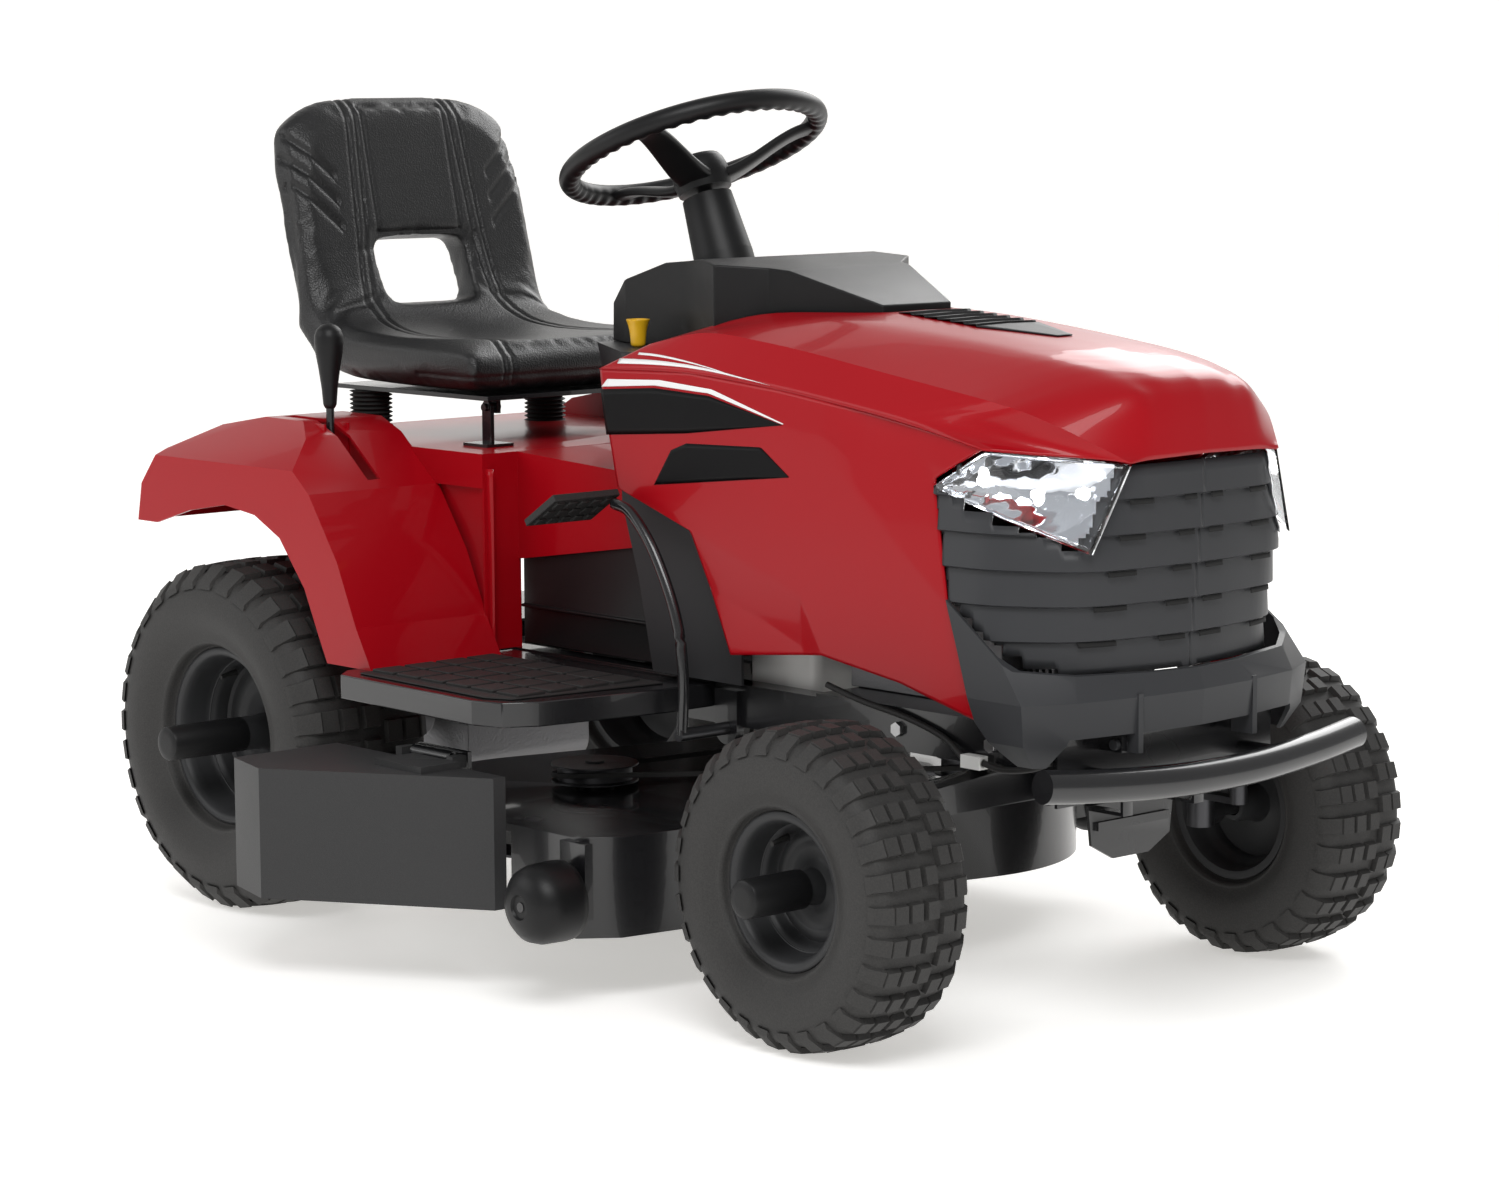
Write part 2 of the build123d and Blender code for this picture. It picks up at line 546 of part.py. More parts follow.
def pod(s, y_in, y_out, low, inset):
    """One fender pod, its outer shoulder sloped off."""
    side(POD_TOP + low, sorted((s * y_in, s * y_out)), inset=inset)
    drop = inset * 1.2
    wedge = [(s * 440, 580 - drop), (s * (FENDER_Y + 2), 586 - drop), (s * 346, 642.5 - drop), (s * 346, 700), (s * 440, 700)]
    section(wedge, (-260, 400), Mode.SUBTRACT)


with BuildPart() as pod_core:
    for s in (1, -1):
        pod(s, FENDER_IN + FENDER_T, FENDER_Y - FENDER_T, POD_LOW, FENDER_T)

with BuildPart() as fender_body:
    for s in (1, -1):
        pod(s, FENDER_IN, FENDER_Y, POD_ARCH, 0)
    add(pod_core.part, mode=Mode.SUBTRACT)
    block((-150, 302), (-FENDER_IN - 2, FENDER_IN + 2), (SEAT_DECK_Z - FENDER_T, SEAT_DECK_Z))
    block((-150, -146), (-FENDER_IN - 2, FENDER_IN + 2), (470, SEAT_DECK_Z))
    for s in (1, -1):
        block((298, 302), sorted((s * 168, s * (FENDER_IN + 2))), (352, SEAT_DECK_Z))
        block((-150, 302), sorted((s * FENDER_IN, s * (FENDER_IN + FENDER_T))), (560, SEAT_DECK_Z))
        for y in (299.5, 336.5):
            block((86, 114), (s * y - 1.5, s * y + 1.5), (LEVER_AT[2] - 12, 637))
        rod((LEVER_AT[0], s * 290, LEVER_AT[2]), (LEVER_AT[0], s * 345, LEVER_AT[2]), 5 + FIT, Mode.SUBTRACT)
        block((8, 192), (s * LEVER_AT[1] - 10, s * LEVER_AT[1] + 10), (540, 660), Mode.SUBTRACT)
    saddle = [(298, 465), (530, 500), (596, 509), (596, 588), (298, SEAT_DECK_Z)]
    side(saddle, (-172, 172))
    side([(290, 440), (530, 490), (650, 505), (650, 581), (302, 600), (302, 500), (290, 500)], (-168, 168), Mode.SUBTRACT)
fender_body.part.label = "fender_body"
export_step(fender_body.part.moved(HOME), "parts/fender_body.step")

with BuildPart() as tunnel_cover:
    shape = [(304, 357), (596, 357), (596, 560), (304, 560)]
    side(shape, (-166, 166))
    block((300, 593), (-163, 163), (350, 557), Mode.SUBTRACT)
    for s in (1, -1):
        block((304, 596), sorted((s * 165, s * 171)), (404, 408))
tunnel_cover.part.label = "tunnel_cover"
export_step(tunnel_cover.part.moved(HOME), "parts/tunnel_cover.step")

FOOT = [(303, 181), (303, 448), (326, 474), (600, 484), (640, 470), (664, 430), (690, 262), (690, 181)]

with BuildPart() as footrests:
    for s in (1, -1):
        shape = [(x, s * y) for x, y in FOOT]
        plan(shape, (320, 350))
        plan(shape, (310, 347), Mode.SUBTRACT, inset=3)
footrests.part.label = "footrests"
export_step(footrests.part.moved(HOME), "parts/footrests.step")

with BuildPart() as footrest_mats:
    for s in (1, -1):
        plan([(340, s * 236), (340, s * 458), (600, s * 470), (636, s * 452), (664, s * 236)], (350, 353))
        with Locations((490, s * 346, 354.5)):
            with GridLocations(49, 49, 6, 4):
                Box(43, 43, 3)
footrest_mats.part.label = "footrest_mats"
export_step(footrest_mats.part.moved(HOME), "parts/footrest_mats.step")

TOWER = [(604, 356), (578, 470), (548, 560), (470, 608), (425, 640), (392, 745), (724, 745), (700, 690),
         (712, 560), (766, 400), (766, 356)]
KNOB_AT = (505.0, -140.0)

with BuildPart() as dash_tower:
    side(TOWER, (-205, 205))
    side([(610, 340), (582, 471), (552, 563), (473, 612), (429, 643), (397, 741), (800, 741), (800, 340)],
         (-201, 201), Mode.SUBTRACT)
    block((440, 660), (-174, 174), (340, 606), Mode.SUBTRACT)
    rod(down_column(200), down_column(300), 22, Mode.SUBTRACT)
    rod((KNOB_AT[0], KNOB_AT[1], 730), (KNOB_AT[0], KNOB_AT[1], 750), 4 + FIT, Mode.SUBTRACT)
dash_tower.part.label = "dash_tower"
export_step(dash_tower.part.moved(HOME), "parts/dash_tower.step")

COWL_SIDE = [(386, 745), (388, 794), (432, 824), (520, 849), (632, 858), (740, 846), (857, 807), (857, 745)]
COWL_PLAN = [(380, 78), (440, 104), (560, 110), (640, 148), (674, 164), (715, 112), (862, 55)]




with BuildPart() as cowl_core:
    side(COWL_SIDE[:-1] + [(857, 700), (386, 700)], (-170, 170), inset=4)
    with BuildSketch(Plane.XY.offset(690)):
        with BuildLine():
            Polyline(*both(COWL_PLAN), close=True)
        make_face()
        offset(amount=-4, kind=Kind.INTERSECTION, mode=Mode.REPLACE)
    extrude(amount=200, mode=Mode.INTERSECT)

with BuildPart() as dash_cowl:
    side(COWL_SIDE, (-170, 170))
    with BuildSketch(Plane.XY.offset(700)):
        with BuildLine():
            Polyline(*both(COWL_PLAN), close=True)
        make_face()
    extrude(amount=200, mode=Mode.INTERSECT)
    add(cowl_core.part, mode=Mode.SUBTRACT)
    rod(down_column(120), down_column(190), BOOT_R, Mode.SUBTRACT)
dash_cowl.part.label = "dash_cowl"
export_step(dash_cowl.part.moved(HOME), "parts/dash_cowl.step")

# ---------------------------------------------------------------- bonnet
# each row is (x, [(y, z), ...]) from the lower flank to the crown
HOOD_ROWS = [
    (530, [(231, 300), (230, 722), (204, 768), (120, 790), (60, 797)]),
    (700, [(232, 300), (230, 728), (200, 777), (120, 797), (60, 797)]),
    (860, [(232, 300), (230, 718), (200, 762), (120, 793), (60, 798)]),
    (1012, [(232, 300), (229, 700), (200, 742), (120, 779), (60, 785)]),
    (1200, [(232, 300), (224, 668), (198, 717), (110, 758), (60, 765)]),
    (1307, [(180, 300), (150, 600), (124, 655), (90, 712), (50, 722)]),
]


def hood_loft(t):
    """Bonnet envelope drawn in by t."""
    for x, row in HOOD_ROWS:
        half = [(y - t, z - (t if i else 20 * (t > 0))) for i, (y, z) in enumerate(row)]
        ends = -t if x == 530 else (t if x == 1307 else 0)
        place = Plane(origin=(x + ends * 3, 0, 0), x_dir=(0, 1, 0), z_dir=(1, 0, 0))
        with BuildSketch(place) as ring:
            with BuildLine():
                Polyline(*across(half), close=True)
            make_face()
        yield ring.sketch


SHELL_SIDE = [(536, 725), (571, 581), (706, 539), (771, 396), (934, 413), (1063, 395), (1183, 365),
              (1137, 495), (1112, 622), (1188, 670), (1330, 657), (1330, 840), (536, 840)]
HOOD_CUT = [(480, 240), (537, 231), (676, 182), (720, 125), (868, 62)]
VENT = (874.0, 1008.0, 52.0)

with BuildPart() as hood_core:
    loft(list(hood_loft(HOOD_T)), ruled=True)

with BuildPart() as hood_shell:
    loft(list(hood_loft(0)), ruled=True)
    add(hood_core.part, mode=Mode.SUBTRACT)
    side(SHELL_SIDE, (-260, 260), Mode.INTERSECT)
    plan(both(HOOD_CUT), (700, 850), Mode.SUBTRACT)
    block((VENT[0], VENT[1]), (-VENT[2], VENT[2]), (700, 850), Mode.SUBTRACT)
hood_shell.part.label = "hood_shell"
export_step(hood_shell.part.moved(HOME), "parts/hood_shell.step")

with BuildPart() as hood_vent:
    side([(VENT[0] + 0.5, 797), (VENT[1] - 0.5, 785), (VENT[1] - 0.5, 775), (VENT[0] + 0.5, 787)],
         (-VENT[2] + 0.5, VENT[2] - 0.5))
    for i in range(4):
        x = VENT[0] + 22 + 30 * i
        block((x, x + 12), (-VENT[2] + 10, VENT[2] - 10), (760, 800), Mode.SUBTRACT)
hood_vent.part.label = "hood_vent"
export_step(hood_vent.part.moved(HOME), "parts/hood_vent.step")

# each row is (z, [(x, y), ...]) from the centre line outwards
NOSE_ROWS = [
    (395, [(1296, 1), (1290, 60), (1268, 165), (1200, 227), (1090, 231)]),
    (554, [(1314, 1), (1310, 70), (1300, 166), (1200, 225), (1090, 230)]),
    (658, [(1321, 1), (1320, 60), (1317, 122), (1192, 222), (1090, 228)]),
]
SKIRT_ROWS = [
    (300, [(1292, 1), (1288, 80), (1272, 150), (1250, 196), (1130, 208)]),
    (345, [(1314, 1), (1308, 80), (1290, 176), (1262, 234), (1130, 233)]),
    (392, [(1318, 1), (1312, 80), (1294, 180), (1264, 240), (1130, 236)]),
    (440, [(1300, 1), (1296, 60), (1276, 168), (1226, 236), (1130, 235)]),
    (500, [(1298, 1), (1294, 60), (1274, 168), (1216, 234), (1130, 234)]),
]


def plan_loft(rows, t):
    """Stacked plan outlines drawn in by t."""
    for i, (z, row) in enumerate(rows):
        ends = -t if i == 0 else (t if i == len(rows) - 1 else 0)
        half = [(x - t * (1.3 if k < len(row) - 1 else 9), y - t if k else y) for k, (x, y) in enumerate(row)]
        with BuildSketch(Plane.XY.offset(z + ends)) as ring:
            with BuildLine():
                Polyline(*both(half), close=True)
            make_face()
        yield ring.sketch


with BuildPart() as nose_core:
    loft(list(plan_loft(NOSE_ROWS, 4)), ruled=True)

with BuildPart() as lamp_zone:
    side([(1112, 622), (1188, 669), (1326, 656.5), (1302, 552)], (-250, 250))
    section([(-260, 540), (-172, 540), (-122, 672), (-260, 672)], (1000, 1400), Mode.INTERSECT)
    mirror(about=Plane.XZ)

with BuildPart() as nose_skin:
    loft(list(plan_loft(NOSE_ROWS, 0)), ruled=True)
    add(nose_core.part, mode=Mode.SUBTRACT)
    side([(1139, 500), (1114, 623), (1190, 668), (1330, 654.5), (1330, 412), (1242, 428)], (-250, 250), Mode.INTERSECT)

with BuildPart() as grille:
    add(nose_skin.part)
    add(lamp_zone.part, mode=Mode.SUBTRACT)
    for i in range(5):
        z = 448 + 40 * i
        for s in (1, -1):
            block((1270, 1340), (s * 34 - 22 if s < 0 else 12, s * 34 + 22 if s > 0 else -12), (z, z + 6), Mode.SUBTRACT)
            reach = 128 - 9 * i
            block((1240, 1340), sorted((s * (reach - 44), s * reach)), (z + 8, z + 14), Mode.SUBTRACT)
grille.part.label = "grille"
export_step(grille.part.moved(HOME), "parts/grille.step")

with BuildPart() as headlight_lenses:
    add(nose_skin.part)
    add(lamp_zone.part, mode=Mode.INTERSECT)
headlight_lenses.part.label = "headlight_lenses"
export_step(headlight_lenses.part.moved(HOME), "parts/headlight_lenses.step")

with BuildPart() as reflector_core:
    loft(list(plan_loft(NOSE_ROWS, 30)), ruled=True)

with BuildPart() as headlight_reflectors:
    add(nose_core.part)
    add(reflector_core.part, mode=Mode.SUBTRACT)
    add(lamp_zone.part, mode=Mode.INTERSECT)
    block((1000, 1180), (-260, 260), (500, 700), Mode.SUBTRACT)
headlight_reflectors.part.label = "headlight_reflectors"
export_step(headlight_reflectors.part.moved(HOME), "parts/headlight_reflectors.step")

with BuildPart() as skirt_core:
    loft(list(plan_loft(SKIRT_ROWS, 4)), ruled=True)

with BuildPart() as nose_skirt:
    loft(list(plan_loft(SKIRT_ROWS, 0)), ruled=True)
    add(skirt_core.part, mode=Mode.SUBTRACT)
    side([(1140, 498), (1187, 366), (1232, 318), (1340, 318), (1340, 411), (1241, 427)], (-260, 260), Mode.INTERSECT)
    section([(-206, 290), (-186, 351), (186, 351), (206, 290)], (1200, 1400), Mode.SUBTRACT)
    for s in (1, -1):
        block((1278, 1310), (s * 96 - 4, s * 96 + 4), (HOOD_HINGE[1] - 9, 396))
        rod((HOOD_HINGE[0], s * 92, HOOD_HINGE[1]), (HOOD_HINGE[0], s * 118, HOOD_HINGE[1]), 6)
nose_skirt.part.label = "nose_skirt"
export_step(nose_skirt.part.moved(HOME), "parts/nose_skirt.step")

# ---------------------------------------------------------------- seat
SEAT_SIDE = [(0, 670), (236, 670), (258, 684), (263, 706), (252, 732), (228, 741), (100, 735), (0, 738),
             (-62, 752), (-100, 786), (-122, 850), (-148, 960), (-168, 1046), (-182, 1064), (-206, 1062),
             (-224, 1040), (-230, 960), (-222, 860), (-204, 770), (-170, 704), (-120, 676)]
SEAT_FRONT = [(200, 655), (208, 720), (SEAT_HALF, 860), (208, 960), (188, 1040), (160, 1070)]

with BuildPart() as seat_cushion:
    side(SEAT_SIDE, (-230, 230))
    section(across(SEAT_FRONT), (-300, 300), Mode.INTERSECT)
    side([(-90, 766), (-90, 852), (-260, 858), (-260, 772)], (-79, 79), Mode.SUBTRACT)
seat_cushion.part.label = "seat_cushion"
export_step(seat_cushion.part.moved(HOME), "parts/seat_cushion.step")

with BuildPart() as seat_pan:
    block((-90, 240), (-170, 170), (664, 670))
    for s in (1, -1):
        block((206, 224), (s * 139 - 3, s * 139 + 3), (SEAT_HINGE[1] - 8, 665))
        rod((SEAT_HINGE[0], s * 130, SEAT_HINGE[1]), (SEAT_HINGE[0], s * 150, SEAT_HINGE[1]), 5 + FIT, Mode.SUBTRACT)
seat_pan.part.label = "seat_pan"
export_step(seat_pan.part.moved(HOME), "parts/seat_pan.step")

with BuildPart() as seat_bracket:
    for s in (1, -1):
        block((190, 240), sorted((s * 128, s * 172)), (SEAT_DECK_Z, SEAT_DECK_Z + 4))
        block((206, 224), (s * 150 - 3, s * 150 + 3), (SEAT_DECK_Z + 4, SEAT_HINGE[1]))
        rod((SEAT_HINGE[0], s * 147, SEAT_HINGE[1]), (SEAT_HINGE[0], s * 153, SEAT_HINGE[1]), 9)
        rod((SEAT_HINGE[0], s * 132, SEAT_HINGE[1]), (SEAT_HINGE[0], s * 158, SEAT_HINGE[1]), 5)
seat_bracket.part.label = "seat_bracket"
export_step(seat_bracket.part.moved(HOME), "parts/seat_bracket.step")

with BuildPart() as seat_bellows:
    for s in (1, -1):
        rod((-38, s * 150, SEAT_DECK_Z), (-38, s * 150, 663), 22)
        for i in range(5):
            z = SEAT_DECK_Z + 7 + i * 12
            rod((-38, s * 150, z - 3), (-38, s * 150, z + 3), 29)
seat_bellows.part.label = "seat_bellows"
export_step(seat_bellows.part.moved(HOME), "parts/seat_bellows.step")


# ---------------------------------------------------------------- controls
def hand_lever(s, lean):
    """Lever on a cross pin, leaning back by the given angle."""
    x, y, z = LEVER_AT
    y = s * y
    tip = (x - sin(lean) * 168, y, z + cos(lean) * 168)
    end = (x - sin(lean) * 272, y, z + cos(lean) * 272)
    rod((x, y, z), tip, 5.5)
    rod((x, y - 21, z), (x, y + 21, z), 5)
    rod((x, y - 12, z), (x, y + 12, z), 10)
    axis = Vector(*end) - Vector(*tip)
    with BuildSketch(Plane(origin=tip, z_dir=axis)) as low:
        Circle(8)
    with BuildSketch(Plane(origin=Vector(*tip) + axis * 0.72, z_dir=axis)) as high:
        Circle(17.5)
    loft([low.sketch, high.sketch])
    with Locations(Vector(*tip) + axis * 0.81):
        Sphere(19)


with BuildPart() as gear_lever:
    hand_lever(-1, 0)
gear_lever.part.label = "gear_lever"
export_step(gear_lever.part.moved(HOME), "parts/gear_lever.step")

with BuildPart() as height_lever:
    hand_lever(1, radians(25))
height_lever.part.label = "height_lever"
export_step(height_lever.part.moved(HOME), "parts/height_lever.step")

PEDAL_PATH = [(718, 297), (721, 370), (708, 440), (670, 512), (628, 556), (596, 566)]

with BuildPart() as pedal:
    rod((PEDAL_AT[0], -172, PEDAL_AT[1]), (PEDAL_AT[0], PEDAL_Y - 7, PEDAL_AT[1]), 8)
    rod((PEDAL_AT[0], -190, PEDAL_AT[1]), (PEDAL_AT[0], -194, PEDAL_AT[1]), 14)
    bent_tube([(x, PEDAL_Y, z) for x, z in PEDAL_PATH], 7)
    with Locations(Location((566, -299, 562), (0, -32, 0))):
        Box(66, 102, 15)
pedal.part.label = "pedal"
export_step(pedal.part.moved(HOME), "parts/pedal.step")

with BuildPart() as blade_knob:
    rod((KNOB_AT[0], KNOB_AT[1], 715), (KNOB_AT[0], KNOB_AT[1], 747), 4)
    with BuildSketch(Plane.XY.offset(746)) as low:
        with Locations(KNOB_AT):
            Circle(9)
    with BuildSketch(Plane.XY.offset(780)) as high:
        with Locations(KNOB_AT):
            Circle(15)
    loft([low.sketch, high.sketch])
    rod((KNOB_AT[0], KNOB_AT[1], 715), (KNOB_AT[0], KNOB_AT[1], 719), 9)
blade_knob.part.label = "blade_knob"
export_step(blade_knob.part.moved(HOME), "parts/blade_knob.step")

# ---------------------------------------------------------------- engine bay
with BuildPart() as engine_block:
    block((858, 1110), (-112, 112), (356, 500))
    block((1110, 1176), (-64, 64), (388, 486))
    for i in range(6):
        block((1116 + 10 * i, 1121 + 10 * i), (-80, 80), (376, 498))
    rod((ENGINE_X, 0, 340), (ENGINE_X, 0, 440), CRANK_R + FIT, Mode.SUBTRACT)
engine_block.part.label = "engine_block"
export_step(engine_block.part.moved(HOME), "parts/engine_block.step")

with BuildPart() as engine_shroud:
    rod((ENGINE_X, 0, 500), (ENGINE_X, 0, 586), 124)
    block((ENGINE_X, 1180), (-90, 90), (500, 560))
    rod((ENGINE_X, 0, 586), (ENGINE_X, 0, 596), 84)
engine_shroud.part.label = "engine_shroud"
export_step(engine_shroud.part.moved(HOME), "parts/engine_shroud.step")

with BuildPart() as fuel_tank:
    block((716, 838), (-150, 150), (316, 470))
    fillet(fuel_tank.edges(), radius=14)
    rod((776, -90, 465), (776, -90, 500), 26)
    for s in (1, -1):
        block((736, 816), (s * 110 - 14, s * 110 + 14), (RAIL_Z[0], 318))
fuel_tank.part.label = "fuel_tank"
export_step(fuel_tank.part.moved(HOME), "parts/fuel_tank.step")

with BuildPart() as crank_pulley:
    rod((ENGINE_X, 0, BELT_TOP_Z - 14), (ENGINE_X, 0, 430), CRANK_R)
    rod((ENGINE_X, 0, BELT_TOP_Z - 12), (ENGINE_X, 0, BELT_TOP_Z + 12), CRANK_PULLEY_R - 8)
    rod((ENGINE_X, 0, BELT_TOP_Z - 12), (ENGINE_X, 0, BELT_TOP_Z - 9.5), CRANK_PULLEY_R)
    rod((ENGINE_X, 0, BELT_TOP_Z + 9.5), (ENGINE_X, 0, BELT_TOP_Z + 12), CRANK_PULLEY_R)
crank_pulley.part.label = "crank_pulley"
export_step(crank_pulley.part.moved(HOME), "parts/crank_pulley.step")


with BuildPart() as harness_cable:
    bent_tube([(906, -196, 372), (960, -190, 358), (1030, -186, 346), (1090, -186, 330), (1129, -192, 310)], 4)
    bent_tube([(1159, -192, 310), (1190, -190, 306), (1230, -188, 312), (1256, -184, 322)], 4)
harness_cable.part.label = "harness_cable"
export_step(harness_cable.part.moved(HOME), "parts/harness_cable.step")

with BuildPart() as harness_connector:
    block((1129, 1159), (-199, -185), (302.5, 317.5))
    rod((1120, -192, 310), (1135, -192, 310), 5, Mode.SUBTRACT)
    rod((1153, -192, 310), (1170, -192, 310), 5, Mode.SUBTRACT)
harness_connector.part.label = "harness_connector"
export_step(harness_connector.part.moved(HOME), "parts/harness_connector.step")

# ---------------------------------------------------------------- cutter deck
SLOPE = (BELT_TOP_Z - BELT_LOW_Z) / (ENGINE_X - (RIGHT_SPINDLE[0] + LEFT_SPINDLE[0]) / 2)
FRONT_CORNER = [(490, -445), (742, -445), (775, -402), (790, -300), (806, 0), (700, 100), (490, -100)]


def pulley_z(x):
    return BELT_TOP_Z - (ENGINE_X - x) * SLOPE


def deck_outline(grow):
    """Plan of the deck, drawn out by grow."""
    with BuildSketch(Plane.XY.offset(DECK_Z[0])) as outline:
        with Locations(RIGHT_SPINDLE, LEFT_SPINDLE):
            Circle(DECK_R)
        make_hull()
        with BuildLine():
            Polyline(*FRONT_CORNER, close=True)
        make_face()
        if grow:
            offset(amount=grow, kind=Kind.INTERSECTION, mode=Mode.REPLACE)
    return outline.sketch


with BuildPart() as deck_shell:
    extrude(deck_outline(0), amount=DECK_Z[1] - DECK_Z[0])
    extrude(deck_outline(-DECK_T), amount=DECK_Z[1] - DECK_Z[0] - DECK_T, mode=Mode.SUBTRACT)
    block((352, 622), (-470, -340), (DECK_Z[0] - 1, 190), Mode.SUBTRACT)
    for x, y in (RIGHT_SPINDLE, LEFT_SPINDLE):
        top = pulley_z(x) - 13
        rod((x, y, DECK_Z[1] - 40), (x, y, DECK_Z[1] - 1), 30)
        rod((x, y, DECK_Z[1] - 4), (x, y, top), 24)
        rod((x, y, 60), (x, y, 240), CRANK_R + FIT, Mode.SUBTRACT)
    block((440, 540), (-444, -438), (198, 276))
    block((452, 528), (-452, -440), (262, 274))
    rod((452, DEFLECTOR_Y, DEFLECTOR_Z), (528, DEFLECTOR_Y, DEFLECTOR_Z), 9)
    rod((440, DEFLECTOR_Y, DEFLECTOR_Z), (540, DEFLECTOR_Y, DEFLECTOR_Z), 5 + FIT, Mode.SUBTRACT)
    block((722, 768), (-452, -440), (106, 196))
    rod((744, -446, ROLLER_Z), (744, -530, ROLLER_Z), 6)
    block((680, 720), (424, 448), (106, 196))
    rod((700, 440, ROLLER_Z), (700, 504, ROLLER_Z), 6)
deck_shell.part.label = "deck_shell"
export_step(deck_shell.part.moved(HOME), "parts/deck_shell.step")


def cutter(at, turn):
    """Blade on its spindle with the belt pulley on top."""
    x, y = at
    z = pulley_z(x)
    with Locations(Location((x, y, 100), (0, 0, turn))):
        Box(2 * BLADE_R - 4, 56, 4)
    rod((x, y, 90), (x, y, DECK_Z[1] - 42), 20)
    rod((x, y, 90), (x, y, z + 14), CRANK_R)
    rod((x, y, z - 11), (x, y, z + 11), SPINDLE_PULLEY_R - 8)
    rod((x, y, z - 11.5), (x, y, z - 9), SPINDLE_PULLEY_R)
    rod((x, y, z + 9), (x, y, z + 11.5), SPINDLE_PULLEY_R)


with BuildPart() as right_blade:
    cutter(RIGHT_SPINDLE, 12)
right_blade.part.label = "right_blade"
export_step(right_blade.part.moved(HOME), "parts/right_blade.step")

with BuildPart() as left_blade:
    cutter(LEFT_SPINDLE, 12)
left_blade.part.label = "left_blade"
export_step(left_blade.part.moved(HOME), "parts/left_blade.step")


def belt_loop(extra):
    """Hull of the three pulleys in the tilted belt plane."""
    run = sqrt(1 + SLOPE ** 2)
    plane = Plane(origin=(ENGINE_X, 0, BELT_TOP_Z), x_dir=(1, 0, SLOPE), z_dir=(-SLOPE, 0, 1))
    with BuildSketch(plane) as loop:
        with Locations((0, 0)):
            Circle(CRANK_PULLEY_R - 7.4 + extra)
        for x, y in (RIGHT_SPINDLE, LEFT_SPINDLE):
            with Locations(((x - ENGINE_X) * run, y)):
                Circle(SPINDLE_PULLEY_R - 7.4 + extra)
        make_hull()
    return loop.sketch


with BuildPart() as deck_belt:
    extrude(belt_loop(6), amount=3, both=True)
    extrude(belt_loop(0), amount=4, both=True, mode=Mode.SUBTRACT)
deck_belt.part.label = "deck_belt"
export_step(deck_belt.part.moved(HOME), "parts/deck_belt.step")

CHUTE = [(642, -468), (642, -486), (392, -645), (308, -622), (308, -468)]

with BuildPart() as deflector:
    plan(CHUTE, (104, 262))
    plan([(638, -460), (638, -483), (393, -640), (300, -615), (300, -460)], (100, 258), Mode.SUBTRACT)
    block((470, 560), (-530, -472), (262, 270))
    for x in (434, 534):
        block((x, x + 12), (-472, -451), (259, 274))
    rod((434, DEFLECTOR_Y, DEFLECTOR_Z), (546, DEFLECTOR_Y, DEFLECTOR_Z), 5)
deflector.part.label = "deflector"
export_step(deflector.part.moved(HOME), "parts/deflector.step")


def roller(x, y_in, y_out):
    """Anti-scalp wheel with a domed outer end."""
    d = 1 if y_out > y_in else -1
    bore = 6 + FIT
    profile = [(bore, y_in), (30, y_in), (ROLLER_R, y_in + d * 6), (ROLLER_R, y_out - d * 26),
               (40, y_out - d * 10), (24, y_out - d * 1), (16, y_out), (bore, y_out)]
    turned(profile, (x, ROLLER_Z))


with BuildPart() as right_roller:
    roller(744, -458, -532)
right_roller.part.label = "right_roller"
export_step(right_roller.part.moved(HOME), "parts/right_roller.step")

with BuildPart() as left_roller:
    roller(700, 454, 506)
left_roller.part.label = "left_roller"
export_step(left_roller.part.moved(HOME), "parts/left_roller.step")
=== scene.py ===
# %% [markdown]
# # A ride-on mower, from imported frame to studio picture
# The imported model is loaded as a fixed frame. Every visible piece is then built over it as a
# numpy surface or as a softened copy of its frame part, and each one rides on its moving body.

# %% Load the frame
import bpy
import bmesh
import json
import numpy as np
from mathutils import Matrix, Vector


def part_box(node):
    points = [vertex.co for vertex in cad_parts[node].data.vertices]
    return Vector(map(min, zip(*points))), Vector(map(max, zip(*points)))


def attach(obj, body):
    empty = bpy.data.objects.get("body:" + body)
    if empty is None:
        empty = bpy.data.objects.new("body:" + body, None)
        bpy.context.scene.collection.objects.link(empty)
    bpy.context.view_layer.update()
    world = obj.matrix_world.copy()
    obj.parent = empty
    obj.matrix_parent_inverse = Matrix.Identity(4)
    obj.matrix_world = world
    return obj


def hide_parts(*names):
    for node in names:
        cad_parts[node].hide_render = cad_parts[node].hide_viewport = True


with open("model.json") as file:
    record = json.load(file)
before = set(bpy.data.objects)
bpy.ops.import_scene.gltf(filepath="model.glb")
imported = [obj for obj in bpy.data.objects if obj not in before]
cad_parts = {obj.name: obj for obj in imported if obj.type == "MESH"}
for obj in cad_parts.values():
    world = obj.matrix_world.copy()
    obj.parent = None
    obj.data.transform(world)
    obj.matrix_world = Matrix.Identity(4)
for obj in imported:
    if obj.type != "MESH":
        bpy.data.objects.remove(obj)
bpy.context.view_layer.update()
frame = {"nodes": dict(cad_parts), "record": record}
print("frame nodes:", len(frame["nodes"]))

# %% [markdown]
# Sizes below are in the machine's own axes: X runs forward from the rear axle, Y to the left,
# Z up, in millimetres. The row frame is centred on the whole machine, so one shift found from
# the tyres takes every point there.

# %% Shared places and helpers
low, high = (np.array(v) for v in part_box("rear_right_tyre"))
_, left_high = (np.array(v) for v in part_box("rear_left_tyre"))
AXLE_X = (low[0] + high[0]) / 2
MID_Y = (low[1] + left_high[1]) / 2
HOME = np.array([AXLE_X, MID_Y, 0.0])
WHEELBASE = 1080.0
print("shift:", HOME)


def row(points):
    """Machine millimetres to row-frame metres: p / 1000 + HOME."""
    return np.asarray(points, float) / 1000.0 + HOME
